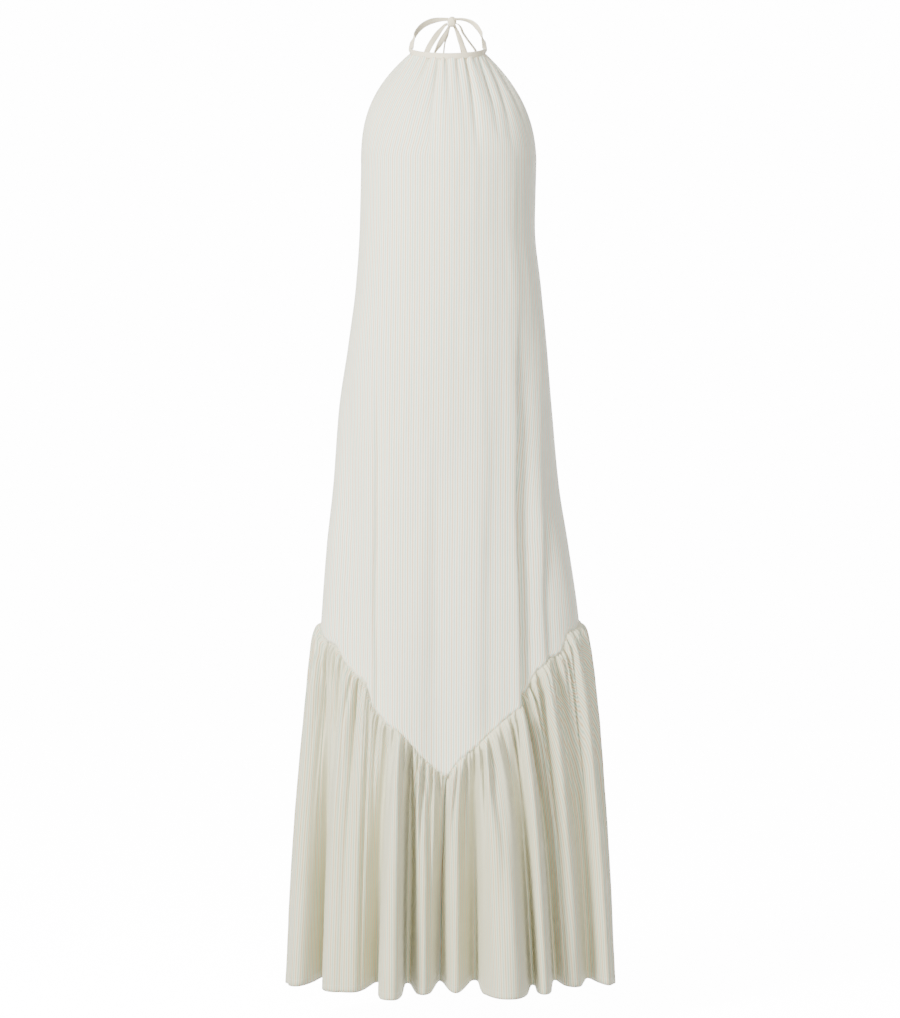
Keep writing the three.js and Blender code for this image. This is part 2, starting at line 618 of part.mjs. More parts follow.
// Where a strand that leaves the knot in a direction meets it, clear by the seam gap.
function knotExit([x, y, z]) {
  const reach = 1 / Math.hypot(x / KNOT.halfX, y / KNOT.halfY, z / KNOT.halfZ);
  const out = new THREE.Vector3(x / KNOT.halfX ** 2, y / KNOT.halfY ** 2, z / KNOT.halfZ ** 2);
  return new THREE.Vector3(KNOT.x + x * reach, KNOT.y + y * reach, KNOT.z + z * reach).addScaledVector(
    out.normalize(),
    SEAM_GAP,
  );
}

function bowKnot() {
  const knot = new THREE.SphereGeometry(1, 14, 10);
  knot.scale(KNOT.halfX, KNOT.halfY, KNOT.halfZ);
  knot.translate(KNOT.x, KNOT.y, KNOT.z);
  return knot;
}

const LOOP_STEPS = 30;
const bowLoop = ({ leaves, route, lies, returns }) =>
  strip(curveThrough([knotExit(leaves), ...route, knotExit(returns)]), {
    ...TIE,
    steps: LOOP_STEPS,
    lies: layOf(lies),
    narrow: (t) => 1 - 0.5 * ease((Math.abs(2 * t - 1) - 0.7) / 0.3),
  });

const TAIL_STEPS = 24;
const tieTail = ({ leaves, route, lies }) =>
  strip(curveThrough([knotExit(leaves), ...route]), {
    ...TIE,
    steps: TAIL_STEPS,
    lies: layOf(lies),
    narrow: (t) => 1 - 0.55 * (1 - ease(t / 0.2)),
  });

const dress = new THREE.Group();
function add(name, geometry, material) {
  const piece = new THREE.Mesh(geometry, material);
  piece.name = name;
  dress.add(piece);
}

const front = frontPanel();
const back = backPanel();
add("front_panel", clothWall(front.outer, front.inner), STRIPED);
add("back_panel", clothWall(back.outer, back.inner), STRIPED);
flouncePieces(front, back).forEach(({ name, geometry }) => add(name, geometry, STRIPED));
add("neckband", neckband(), PLAIN);
add("neck_tie_left", neckTie(-1), PLAIN);
add("neck_tie_right", neckTie(1), PLAIN);
add("bow_knot", bowKnot(), PLAIN);
BOW_LOOPS.forEach((loop) => add(loop.name, bowLoop(loop), PLAIN));
TIE_TAILS.forEach((tail) => add(tail.name, tieTail(tail), PLAIN));

export default dress;
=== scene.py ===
"""A halter-neck maxi dress in fine pinstriped cloth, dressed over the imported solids.

The forms are worked out in millimetres and written to the meshes in metres. +Z is up, the front faces -Y,
and left and right are as seen from the front. The origin is the middle of the neck opening. Across a panel
a place runs from -1 at the left side to 1 at the right. Round the flounce seam it runs from 0 at centre
front over 1 at the right side, 2 at centre back and 3 at the left side to 4, at centre front again.
"""
import math

import bpy
import numpy as np
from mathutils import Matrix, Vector


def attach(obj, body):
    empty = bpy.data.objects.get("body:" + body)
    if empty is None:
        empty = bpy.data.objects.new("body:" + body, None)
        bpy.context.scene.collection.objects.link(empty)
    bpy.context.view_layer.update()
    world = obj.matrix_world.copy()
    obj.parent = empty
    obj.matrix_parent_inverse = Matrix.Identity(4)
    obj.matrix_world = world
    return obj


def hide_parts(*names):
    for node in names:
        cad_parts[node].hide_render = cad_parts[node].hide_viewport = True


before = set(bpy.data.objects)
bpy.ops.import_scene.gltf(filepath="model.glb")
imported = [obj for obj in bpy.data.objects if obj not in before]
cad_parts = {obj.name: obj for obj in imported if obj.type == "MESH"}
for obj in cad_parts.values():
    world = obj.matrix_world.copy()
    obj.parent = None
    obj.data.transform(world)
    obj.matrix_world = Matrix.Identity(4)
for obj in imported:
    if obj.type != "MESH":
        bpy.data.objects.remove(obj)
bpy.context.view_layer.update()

METRES = 0.001
RIGHT_ANGLE = math.pi / 2
FULL_TURN = 2 * math.pi

# Driving sizes in millimetres
NECK_X, NECK_HALF_WIDTH, NECK_SIDE_Y, NECK_DEPTH = -3.5, 57.0, -4.0, 55.0
BAND_WIDTH, BAND_THICK, BAND_FRONT_Z, BAND_SIDE_RISE = 9.4, 2.6, -4.7, 17.0
TIE_WIDTH, TIE_THICK = 9.2, 1.7
BUST_Z = -165.0
SEAM_X, SEAM_POINT_Z, SEAM_LEFT_Z, SEAM_RIGHT_Z = -5.0, -1101.0, -874.0, -870.0
BACK_TOP_SIDE_Z, BACK_TOP_MIDDLE_Z = -165.0, -205.0
HEM_Z, HEM_HALF_WIDTH, HEM_MIDDLE_Y, HEM_HALF_DEPTH = -1431.0, 259.0, 12.0, 108.0
HEM_LIFT, HEM_LIFT_DEPTH = 9.0, 55.0
CLOTH_THICK = 0.9
STRIPE_SPACING = 7.5

# Photo frame: the camera stands level with the middle of the picture, 4.2 m in front of the dress
PHOTO_WIDTH, PHOTO_HEIGHT = 900, 1018
MM_PER_PIXEL = 1.55
CAMERA_DISTANCE, CAMERA_Z = 4200.0, -697.0
SENSOR = 36.0

# Outline of the panels: height, half widths to the left and right, depths to the front and back
OUTLINE_SIDES = ("left", "right", "front", "back")
OUTLINE = (
    (-165, 138, 134, 119, 97),
    (-260, 140, 132, 118, 96),
    (-352, 146, 141, 116, 97),
    (-445, 158, 150, 115, 101),
    (-540, 172, 158, 115, 108),
    (-660, 181, 169, 116, 114),
    (-755, 191, 184, 117, 117),
    (-880, 200, 201, 118, 119),
    (-1100, 214, 214, 118, 120),
)
# Powers that fill out the ovals of the body and of the flat strips towards rectangles
BODY_FILL, STRIP_FILL = 0.75, 0.6

# How the front widens from the neckband to the bust, as powers in the middle and at the armholes, how it
# rounds forward, and how far the armhole's edge bends forward
WIDENS_MIDDLE, WIDENS_LEFT, WIDENS_RIGHT = 1.15, 2.5, 2.15
ROUNDS_FORWARD, ARMHOLE_FORWARD = 1.7, 24

# Gathers under the neckband: place at the band and at the lower end across the panel, share of the way
# down to the bust that they reach, depth and width
NECK_GATHERS = (
    (-0.92, -0.8, 0.55, 4, 0.05),
    (-0.62, -0.6, 0.5, 4.2, 0.04),
    (-0.35, -0.47, 0.5, 6.2, 0.036),
    (-0.165, -0.15, 1.15, 6, 0.036),
    (0, 0, 0.65, 4.6, 0.036),
    (0.16, 0.1, 0.5, 4, 0.036),
    (0.33, 0.19, 1.15, 7.4, 0.036),
    (0.62, 0.36, 1, 5.5, 0.04),
    (0.82, 0.48, 1.05, 6, 0.04),
    (0.96, 0.76, 1, 5.4, 0.045),
)
# Each is a soft hollow with a sharp crease along it
HOLLOW, CREASE, CREASE_SHARPNESS = 0.55, 0.6, 2.6
# Fine gathers between them: depth, reach below the band and phase across the panel
FINE_GATHER_DEPTH, FINE_GATHER_REACH, FINE_GATHER_PHASE = 2.2, 20, 38
BAND_TO_BUST = 155

# Hanging folds: x and z where each starts, x at the flounce seam, depth, width and sideways lean
FRONT_FOLDS = (
    (111, -330, 130, 25, 10, -0.4),
    (146, -430, 174, 15, 9, -0.3),
    (-110, -380, -113, 8, 5, -0.5),
    (-156, -400, -160, 13, 14, 0),
    (-18, -500, -20, 9, 16, 0),
    (72, -300, 66, 6, 15, 0),
)
BACK_FOLDS = (
    (118, -360, 134, 18, 13, 0.3),
    (40, -300, 44, 7, 16, 0),
    (-36, -420, -40, 9, 16, 0),
    (-112, -340, -128, 16, 12, -0.3),
)
# They wander sideways, and their right side slopes more gently
FOLD_WANDER, FOLD_WANDER_HEIGHT, FOLD_GENTLE_SIDE = 2.0, 120, 0.45

# Light creases of the panels: depth, spacing across, height over which they lean by one spacing, and
# spacing down
PANEL_CREASES = (
    (1.5, 34, 900, 250),
    (0.5, 12, -500, 110),
    (0.35, 46, 60, 24),
)
PANEL_HALF_GIRTH = 240
# Small puckers of the panels above the flounce seam: depth, reach and phase, and the seam's small waves
PUCKER_DEPTH, PUCKER_REACH, PUCKER_PHASE = 1.0, 8, 190
SEAM_WAVE, SEAM_WAVE_REACH, SEAM_WAVES = 0.9, 20, 26

# The hem's crests and troughs: x, y, heading in degrees, roundness and the place round the flounce seam
HEM_FOLDS = (
    (-15, -40, 0, 7, 0),
    (9, -96, 355, 13, 0.06),
    (38, -30, 350, 8, 0.12),
    (51, -98, 292, 24, 0.15),
    (95, -150, 5, 26, 0.205),
    (126, -50, 15, 8, 0.28),
    (143, -106, 8, 15, 0.35),
    (162, -22, 12, 8, 0.42),
    (190, -52, 18, 22, 0.54),
    (213, 4, 30, 8, 0.67),
    (247, -27, 48, 17, 0.8),
    (256, 16, 90, 10, 1),
    (243, 62, 140, 18, 1.2),
    (208, 50, 165, 9, 1.32),
    (184, 108, 170, 22, 1.44),
    (150, 68, 176, 10, 1.55),
    (116, 152, 178, 28, 1.68),
    (76, 82, 180, 10, 1.8),
    (44, 142, 182, 19, 1.9),
    (12, 78, 180, 9, 2),
    (-24, 156, 178, 26, 2.11),
    (-62, 80, 182, 10, 2.22),
    (-98, 158, 184, 27, 2.34),
    (-136, 74, 184, 10, 2.47),
    (-166, 116, 188, 19, 2.58),
    (-196, 54, 196, 9, 2.7),
    (-231, 74, 216, 18, 2.82),
    (-256, 22, 270, 10, 3),
    (-237, -38, 333, 20, 3.21),
    (-190, 13, 342, 8, 3.31),
    (-194, -68, 305, 16, 3.38),
    (-152, -88, 0, 24, 3.55),
    (-112, -40, 345, 8, 3.71),
    (-109, -112, 278, 24, 3.745),
    (-86, -153, 4, 20, 3.785),
    (-66, -48, 350, 7, 3.84),
    (-39, -110, 5, 13, 3.91),
)
HEM_PLACES = [fold[4] for fold in HEM_FOLDS] + [4]
TROUGH_ROUNDNESS = 10
HEM_STEPS_A_FOLD = 60

# How far the gathered seam rises above its smooth line: place across a panel, rise
SEAM_STEPS = (
    (-1, 2), (-0.8, 5), (-0.67, 14), (-0.59, 1), (-0.52, 3), (-0.43, 12), (-0.37, -9),
    (-0.3, -10), (-0.2, -1), (-0.09, -6), (0, -1), (0.06, 6), (0.14, 1), (0.3, -2),
    (0.38, -10), (0.47, -11), (0.52, 6), (0.6, 5), (0.7, -5), (0.78, 13), (0.88, 6),
    (1, 1),
)

# Gathers of the flounce under its seam, from the smallest: spacing along the seam, depth, how far below
# the seam each sort has grown, and how far down it lasts
SEAM_GATHERS = (
    (7.0, 3.0, 1.6, 20),
    (17.0, 7.2, 8, 100),
    (43.0, 9.5, 34, 300),
)
# How unevenly they stand: shift along the seam, sway further down and spread of depth
GATHER_SHIFT, GATHER_SWAY, GATHER_SPREAD, GATHER_LEAST, GATHER_MOST = 3.2, 1.1, 0.8, 0.35, 1.7

# Deep narrow valleys between the gathers: place round the seam, depth, half width, how far below the seam
# each has opened, and how far down it lasts
SEAM_VALLEYS = (
    (0.11, 6, 2, 2, 45), (0.15, 8, 2, 3, 40), (0.23, 5, 1.8, 2, 20), (0.33, 11, 3, 4, 120),
    (0.4, 6, 2, 2, 26), (0.49, 13, 5, 3, 80), (0.66, 7, 2.2, 3, 80), (0.73, 11, 3, 6, 110),
    (1.15, 6, 2.6, 2, 60), (1.31, 8, 3, 3, 80), (1.47, 6, 2, 2, 30), (1.62, 10, 3, 4, 90),
    (1.8, 7, 2.2, 3, 50), (2.07, 8, 2.4, 3, 60), (2.21, 6, 2, 2, 30), (2.36, 10, 3, 4, 100),
    (2.55, 6, 2, 2, 40), (2.74, 9, 2.4, 3, 80), (2.88, 6, 2, 2, 50), (3.24, 11, 2.6, 3, 110),
    (3.3, 5, 1.6, 1, 22), (3.37, 7, 1.8, 2, 40), (3.5, 10, 2.4, 3, 70), (3.66, 6, 2, 3, 60),
    (3.755, 7, 2.2, 2, 50), (3.83, 11, 3, 4, 90), (3.96, 9, 2.4, 3, 50),
)
PUFF_OUT, PUFF_GROWN, PUFF_REACH, PUFF_LESS_AT_SIDES = 7.5, 8, 62.0, 0.75
# The flounce's own seam at centre front: depth, half width and reach of the crease, and the length of a
# quarter of the seam above it
CENTRE_SEAM_DEPTH, CENTRE_SEAM_WIDTH, CENTRE_SEAM_REACH, QUARTER_SEAM = 7, 7, 80, 330
# Light creases of the flounce, as those of the panels, and how far below the seam each sort has grown
FLOUNCE_CREASES = (
    (1.2, 30, math.inf, 130, 120),
    (0.3, 12, 60, 26, 40),
)
# How the flounce swings out on its way down, and how soon the hem's folds show in it
SWING_EARLY, FOLDS_GROW = 0.64, 0.6

# The bow at the nape: the knot, how far above its middle the ties meet it, and each strand's route. The
# lies tables give the direction of a strand's width: share of its length, x, y and z.
KNOT, KNOT_SIZE, TIE_RISE = (3, 66, 70), (7, 5.2, 8.4), 4
LOOP_LEFT = (
    (-3.8, 66.7, 67.1), (-8.4, 68, 64.9), (-13.5, 70, 59.5), (-19, 72, 53), (-28.4, 74, 39.5),
    (-36, 76, 25.5), (-41, 78, 9), (-43, 79.5, -6), (-38.5, 81, -16), (-32, 82, -8), (-28.5, 82.5, 8),
    (-23.7, 81.5, 24), (-16.6, 80, 36.5), (-10.5, 78, 47), (-5.8, 76, 55), (-2.6, 73, 61), (-0.1, 69.6, 64.7),
)
LOOP_LEFT_LIES = (
    (0, 1, 0, 0), (0.28, 1, 0, 0), (0.42, 0.25, 1, 0), (0.74, 0.3, 1, 0), (0.85, 1, 0.3, 0), (1, 1, 0.2, 0),
)
LOOP_RIGHT = (
    (9.8, 66.7, 67.1), (13.6, 68, 65.4), (17.2, 70, 60.5), (20.5, 72, 53), (29.8, 74, 40), (39.5, 76, 27),
    (45, 78, 12), (48, 79.5, -6), (43.5, 81, -16), (36.5, 82, -8), (30.5, 82.5, 6), (25, 81.5, 21),
    (19.8, 80, 35), (15.6, 78, 46), (12, 76, 55), (8.8, 73, 61), (6.1, 69.6, 64.7),
)
LOOP_RIGHT_LIES = (
    (0, 0.5, 1, 0), (0.04, 0.62, 1, 0), (0.3, 0.5, 1, 0), (0.56, 0.3, 1, 0), (0.68, 1, 0.5, 0),
    (1, 1, 0.5, 0),
)
TAIL_LEFT = (
    (1.1, 70.4, 69.5), (-0.1, 74.3, 68.6), (-1.4, 77.6, 65), (-3.8, 81.4, 58), (-6.8, 84.6, 47),
    (-9.5, 86.8, 33), (-11, 88, 12), (-12, 89, -14), (-14, 90, -42), (-17, 90.5, -72), (-20, 91, -102),
    (-21, 91.5, -132), (-20, 92, -158),
)
TAIL_LEFT_LIES = (
    (0, 1, 0, 0), (0.06, 1, 0, 0), (0.16, 0.15, 1, 0), (0.26, 0.15, 1, 0), (0.4, 1, 0, 0), (1, 1, 0.2, 0),
)
TAIL_RIGHT = (
    (4.9, 70.4, 69.5), (6.1, 74.3, 68.6), (7.6, 77.6, 65), (10.6, 81.4, 58), (14.8, 84.6, 47),
    (19, 86.8, 33), (23, 88, 12), (26, 89, -14), (28, 90, -42), (29, 90.5, -72), (28, 91, -102),
    (25, 91.5, -132), (23, 92, -164),
)
TAIL_RIGHT_LIES = ((0, 1, 0, 0), (0.1, 1, 0, 0), (0.2, 1, 0.6, 0), (0.4, 1, 0.6, 0), (1, 1, -0.2, 0))
TIE_LEFT_LIES = (
    (0, 0.4, -0.3, 0.86), (0.05, 0.95, -0.3, 0.4), (0.2, 0.9, -0.35, 0.5), (0.36, -0.2, -0.3, 0.9),
    (0.6, -0.4, -0.3, 0.86), (1, -0.1, -0.35, 0.9),
)
TIE_RIGHT_LIES = (
    (0, -0.4, -0.3, 0.86), (0.05, -0.95, -0.3, 0.4), (0.2, -0.85, -0.35, 0.5), (0.4, 0.2, -0.4, 0.86),
    (0.6, 0.3, -0.5, 0.8), (0.8, 0.1, -0.9, 0.4), (1, 0, -0.8, 0.5),
)
# Cross creases of the strips, and how much their faces are hollowed as a share of their thickness
STRIP_CREASE, STRIP_CREASE_SPACING, STRIP_CUP = 0.16, 5, 0.25

# Stitches: pitch, length and thread, and how far from the edges the rows lie
STITCH_PITCH, STITCH_LENGTH, THREAD_RADIUS, THREAD_SIDES = 2.9, 2.1, 0.17, 6
STITCH_LIFT, BACK_STITCH_DEPTH, HEM_STITCH_DEPTH, ARMHOLE_INSET_COLUMNS = 0.12, 7, 10, 4
BAND_STITCH_LIFT, BAND_STITCH_DROP = 0.1, 0.36

# Colours, as red, green, blue and opacity
PANEL_COLOURS = (0.88, 0.87, 0.70, 1), (0.72, 0.49, 0.27, 1), (0.44, 0.63, 0.49, 1)
# The flounce's colours are a darker, more olive copy of the panels': partly the sheer unlined cloth, partly
# painted shade where less light falls on the lower dress and into its folds
FLOUNCE_UNLINED_AND_PAINTED_SHADE_COLOURS = (0.61, 0.59, 0.40, 1), (0.52, 0.37, 0.19, 1), (0.335, 0.45, 0.315, 1)
# The lighter colour at the flounce's top is partly its gathered layers and partly painted light, where more
# light falls near the seam; the mottle colour is the cloth's own uneven tone
LAYERED_AND_PAINTED_LIGHT_COLOUR, MOTTLE_COLOUR = (0.78, 0.76, 0.58, 1), (0.66, 0.64, 0.54, 1)
BINDING_COLOURS = (0.80, 0.72, 0.525, 1), (0.71, 0.625, 0.43, 1)
THREAD_COLOURS = (0.62, 0.59, 0.50, 1), (0.80, 0.77, 0.69, 1)
FLOOR_COLOURS = (0.93, 0.93, 0.93, 1), (0.96, 0.96, 0.96, 1)
WHITE = (1, 1, 1, 1)

# The cloth's look, in metres: threads a metre, slubs, clouded tone, stripes and relief. A stripe's half
# width is a share of the spacing, and its soft edge runs between two shares of that.
THREADS, SLUB_SCALE, CLOUD_SCALE, TONE_RANGE = 1600, (1400, 28, 1), 9.0, (0.7, 1.3)
STRIPE_HALF_WIDTH, STRIPE_EDGE, STRIPE_SWAY, SWAY_SCALE = 0.115, (0.6, 1.4), 0.0012, 6.0
SPACINGS_ADDED = 100
RELIEF_STRENGTH, RELIEF_HEIGHT = 0.25, 0.0002
# The lighter top colour, partly gathered layers and partly painted light, has its full share at the seam and
# fades out over the reach, in metres down the cloth
LAYERED_AND_PAINTED_LIGHT_SHARE, LAYERED_AND_PAINTED_LIGHT_REACH, MOTTLE_SHARE = 0.5, 0.22, 0.2

# Floor and lamps in metres: name, place, size and power of each lamp
FLOOR_Z, FLOOR_HALF_WIDTH, FLOOR_FRONT_Y, FLOOR_HEIGHT, FLOOR_GLOW = -1.5, 7.0, -6.5, 6.5, 14.0
SWEEP_Y, SWEEP_RADIUS = 5.4, 1.6
LAMPS = (
    ("left_front_light", (-2.35, -2.95, 0.9), (1.0, 1.8), 470),
    ("front_light", (0.4, -4.6, 0.6), (1.6, 1.6), 160),
)
LAMP_AIM, SKY_STRENGTH = (0, 0, -0.7), 0.66


# Curves and noise
def mix(a, b, share):
    return a + (b - a) * share


def ease(share):
    """Rises from 0 to 1 with level ends."""
    t = np.clip(share, 0, 1)
    return t * t * (3 - 2 * t)


def filled_out(wave, power):
    """A sine or cosine that makes a fuller oval than a plain one."""
    return np.sign(wave) * np.abs(wave) ** power


def gathered_wave(phase):
    """A row of round crests with narrow valleys between them, from -1 to 1."""
    return 2 * np.sqrt(np.sin(phase / 2) ** 2 + 0.004) - 1


def under_seam(below, grown, reach):
    """A share that grows from nothing just below the seam and dies away further down."""
    return (1 - np.exp(-np.maximum(0, below) / grown)) * np.exp(-below / reach)


def smooth_through(places, values):
    """A smooth curve through the values at their places, which never overshoots."""
    places, values = np.array(places, float), np.array(values, float)
    steps = np.diff(values) / np.diff(places)
    before, after = steps[:-1], steps[1:]
    turning = before * after <= 0
    total = np.where(turning, 1, before + after)
    slopes = np.concatenate((steps[:1], np.where(turning, 0, 2 * before * after / total), steps[-1:]))

    def curve(place):
        i = np.clip(np.searchsorted(places, place, side="right") - 1, 0, len(places) - 2)
        span = places[i + 1] - places[i]
        t = np.clip((place - places[i]) / span, 0, 1)
        return (
            values[i] * (2 * t**3 - 3 * t**2 + 1)
            + values[i + 1] * (3 * t**2 - 2 * t**3)
            + slopes[i] * span * (t**3 - 2 * t**2 + t)
            + slopes[i + 1] * span * (t**3 - t**2)
        )

    return curve


def soft_noise(seed, a, b=0.0, cells=64):
    """Smooth noise from -1 to 1 on a lattice with one cell for each unit of a and b."""
    lattice = np.random.default_rng(seed).uniform(-1, 1, (cells, cells))
    a, b = np.broadcast_arrays(np.asarray(a, float), np.asarray(b, float))
    i, j = np.floor(a).astype(int), np.floor(b).astype(int)
    s, t = ease(a - i), ease(b - j)
    near = mix(lattice[i % cells, j % cells], lattice[(i + 1) % cells, j % cells], s)
    far = mix(lattice[i % cells, (j + 1) % cells], lattice[(i + 1) % cells, (j + 1) % cells], s)
    return mix(near, far, t)


def lengths_along(points):
    """Distance from the first point to each of the points, along the first axis."""
    steps = np.linalg.norm(np.diff(points, axis=0), axis=-1)
    return np.concatenate((np.zeros_like(steps[:1]), np.cumsum(steps, axis=0)))


def row_lengths(grid, middle):
    """Level distance along each row of a grid from its middle column."""
    lengths = lengths_along(grid[..., :2].swapaxes(0, 1)).swapaxes(0, 1)
    return lengths - lengths[:, middle : middle + 1]


def unit(vectors):
    return vectors / np.linalg.norm(vectors, axis=-1, keepdims=True)


# The panels' form
outline_of = {
    side: smooth_through([-row[0] for row in OUTLINE], [row[k] for row in OUTLINE])
    for k, side in enumerate(OUTLINE_SIDES, 1)
}
seam_step = smooth_through(*zip(*SEAM_STEPS))


def quarter_lengths():
    """Even places from the front to the side, and the share of the way round the section at each."""
    _, _, wide, deep, _ = OUTLINE[-2]
    places = np.linspace(0, 1, 81)
    turn = RIGHT_ANGLE * places
    quarter = np.stack((wide * np.sin(turn), deep * filled_out(np.cos(turn), BODY_FILL)), axis=1)
    lengths = lengths_along(quarter)
    return places, lengths / lengths[-1]


QUARTER_PLACES, QUARTER_SHARES = quarter_lengths()


def seam_z(across):
    share = np.interp(np.abs(across), QUARTER_PLACES, QUARTER_SHARES)
    share = (share + np.abs(np.sin(RIGHT_ANGLE * across))) / 2
    return mix(SEAM_POINT_Z, np.where(across < 0, SEAM_LEFT_Z, SEAM_RIGHT_Z), share) + seam_step(across)


def section_point(across, z, facing):
    turn = RIGHT_ANGLE * across
    wide = np.where(across < 0, outline_of["left"](-z), outline_of["right"](-z))
    deep = outline_of["front" if facing < 0 else "back"](-z)
    to_point = ease((z - BUST_Z) / (SEAM_POINT_Z - BUST_Z))
    x = wide * np.sin(turn) + SEAM_X * to_point * np.cos(turn) ** 2
    return x, facing * deep * filled_out(np.cos(turn), BODY_FILL)


def neck_point(across):
    turn = RIGHT_ANGLE * across
    return (
        NECK_X + NECK_HALF_WIDTH * np.sin(turn),
        NECK_SIDE_Y - NECK_DEPTH * np.cos(turn),
        BAND_FRONT_Z + BAND_SIDE_RISE * (1 - np.cos(turn)),
    )


def fold_push(folds, x, z, seam_at):
    """How far the hanging folds press the cloth inward and sideways."""
    inward, sideways = 0, 0
    for fold_x, fold_z, at_seam, depth, wide, lean in folds:
        down = np.clip((z - fold_z) / (seam_at - fold_z), 0, 1)
        wander = FOLD_WANDER * soft_noise(int(abs(fold_x)), z / FOLD_WANDER_HEIGHT)
        off = (x - mix(fold_x, at_seam, down) - wander) / (wide * (0.8 + 0.5 * down))
        off = np.where(off < 0, off, off * FOLD_GENTLE_SIDE)
        push = depth * ease(down * 1.5) * np.exp(-off * off)
        inward = inward + push
        sideways = sideways + push * lean
    return inward, sideways


def gather_push(across, down):
    """How far the gathers under the neckband press the cloth inward."""
    total = 0
    for top, end, reach, depth, wide in NECK_GATHERS:
        middle = mix(top, end, np.minimum(1, down))
        off = (across - middle) / (wide * (1 + 0.5 * down))
        grown = 0.7 + 0.3 * ease(down / 0.1)
        valley = HOLLOW * np.exp(-off * off) + CREASE * np.exp(-np.abs(off * CREASE_SHARPNESS))
        total = total + depth * grown * (1 - ease(down / reach)) * valley
    return total


def fine_gather_push(across, down):
    below = down * BAND_TO_BUST
    phase = FINE_GATHER_PHASE * across + 2.6 * soft_noise(31, across * 9)
    strength = 0.9 - 0.3 * across + 0.5 * soft_noise(32, across * 13)
    return -FINE_GATHER_DEPTH * strength * gathered_wave(phase) * np.exp(-below / FINE_GATHER_REACH)


def panel_creases(seed, across, z):
    """Light creases of a hanging panel, outwards: long and soft ones, and a few short ones across."""
    along = across * PANEL_HALF_GIRTH
    total = 0
    for k, (depth, spacing, lean, spacing_down) in enumerate(PANEL_CREASES):
        total = total + depth * soft_noise(seed + k, along / spacing + z / lean, z / spacing_down)
    return total


def settle(x, y, across, facing, inward, sideways):
    """Moves a point of a panel inward and sideways, and leaves the side seams where they are."""
    turn = RIGHT_ANGLE * across
    share = 1 - np.abs(across) ** 10
    x = x + share * (np.cos(turn) * sideways - np.sin(turn) * inward)
    y = y + share * (-facing * np.sin(turn) * sideways - facing * np.cos(turn) * inward)
    return x, y


def front_above(across, down):
    """The front from the neckband down to the bust."""
    top_x, top_y, top_z = neck_point(across)
    top_z = top_z - BAND_WIDTH / 4
    bust_x, bust_y = section_point(across, BUST_Z, -1)
    z = mix(top_z, BUST_Z, down)
    widens = mix(WIDENS_MIDDLE, np.where(across < 0, WIDENS_LEFT, WIDENS_RIGHT), across**4)
    x = mix(top_x, bust_x, 1 - (1 - down) ** widens)
    forward = ARMHOLE_FORWARD * np.sin(math.pi * down) * across**2
    y = mix(top_y, bust_y, 1 - (1 - down) ** ROUNDS_FORWARD) - forward
    inward, sideways = fold_push(FRONT_FOLDS, x, z, seam_z(across))
    inward = inward + gather_push(across, down) + fine_gather_push(across, down)
    inward = inward - panel_creases(5, across, z) * ease(down / 0.4)
    x, y = settle(x, y, across, -1, inward, sideways)
    return np.stack(np.broadcast_arrays(x, y, z), axis=-1)


def panel_below(across, down, facing, folds, from_z, seed):
    """A panel from a height down to the flounce seam."""
    seam_at = seam_z(across)
    z = mix(from_z, seam_at, down)
    above_seam = z - seam_at
    x, y = section_point(across, z, facing)
    inward, sideways = fold_push(folds, x, z, seam_at)
    if facing < 0:
        inward = inward + gather_push(across, 1 + (BUST_Z - z) / (BAND_FRONT_Z - BUST_Z))
    inward = inward - panel_creases(seed, across, z)
    pucker = gathered_wave(PUCKER_PHASE * across + 3 * soft_noise(seed + 3, across * 14))
    inward = inward - PUCKER_DEPTH * pucker * np.exp(-above_seam / PUCKER_REACH)
    x, y = settle(x, y, across, facing, inward, sideways)
    wave = SEAM_WAVE * soft_noise(seed + 4, across * SEAM_WAVES)
    z = z + wave * np.exp(-above_seam / SEAM_WAVE_REACH)
    return np.stack(np.broadcast_arrays(x, y, z), axis=-1)


def front_below(across, down):
    return panel_below(across, down, -1, FRONT_FOLDS, BUST_Z, 5)


def back_point(across, down):
    top = mix(BACK_TOP_MIDDLE_Z, BACK_TOP_SIDE_Z, across**2)
    return panel_below(across, down, 1, BACK_FOLDS, top, 15)


def lower_edge(place):
    """The panels' lower edge at a place round the flounce seam."""
    place = np.where(place > 3, place - 4, place)
    on_front = front_below(np.clip(place, -1, 1), 1.0)
    on_back = back_point(np.clip(2 - place, -1, 1), 1.0)
    return np.where((place <= 1)[..., None], on_front, on_back)


# The flounce's form
def hem_chain():
    """The hem's line as points, its length so far at each, and at each crest and trough."""
    points = []
    share = np.linspace(0, 1, HEM_STEPS_A_FOLD + 1)[:-1, None]
    for fold, next_fold in zip(HEM_FOLDS, HEM_FOLDS[1:] + HEM_FOLDS[:1]):
        (x, y, heading, rounded, _), (next_x, next_y, next_heading, next_rounded, _) = fold, next_fold
        a, d = np.array((x, y)), np.array((next_x, next_y))
        turn, next_turn = math.radians(heading), math.radians(next_heading)
        b = a + rounded * np.array((math.cos(turn), math.sin(turn)))
        c = d - next_rounded * np.array((math.cos(next_turn), math.sin(next_turn)))
        points.append(
            a * (1 - share) ** 3
            + 3 * b * share * (1 - share) ** 2
            + 3 * c * share**2 * (1 - share)
            + d * share**3
        )
    line = np.concatenate(points + [points[0][:1]])
    lengths = lengths_along(line)
    return line, lengths, lengths[::HEM_STEPS_A_FOLD]


def side_place(x, place):
    """The place round the plain oval of the hem that has this x, near a place round the seam."""
    if place in (1, 3):
        return place
    across = math.asin(max(-1, min(1, x / HEM_HALF_WIDTH))) / RIGHT_ANGLE
    if place < 1:
        return across
    return 2 - across if place < 3 else 4 + across


HEM_LINE, HEM_LENGTHS, FOLD_LENGTHS = hem_chain()
cloth_at = smooth_through(HEM_PLACES, FOLD_LENGTHS)
ring_place = smooth_through(
    HEM_PLACES, [side_place(fold[0], place) for fold, place in zip(HEM_FOLDS + HEM_FOLDS[:1], HEM_PLACES)]
)
SEAM_PLACES = np.linspace(0, 4, 1601)
SEAM_LENGTHS = lengths_along(lower_edge(SEAM_PLACES))


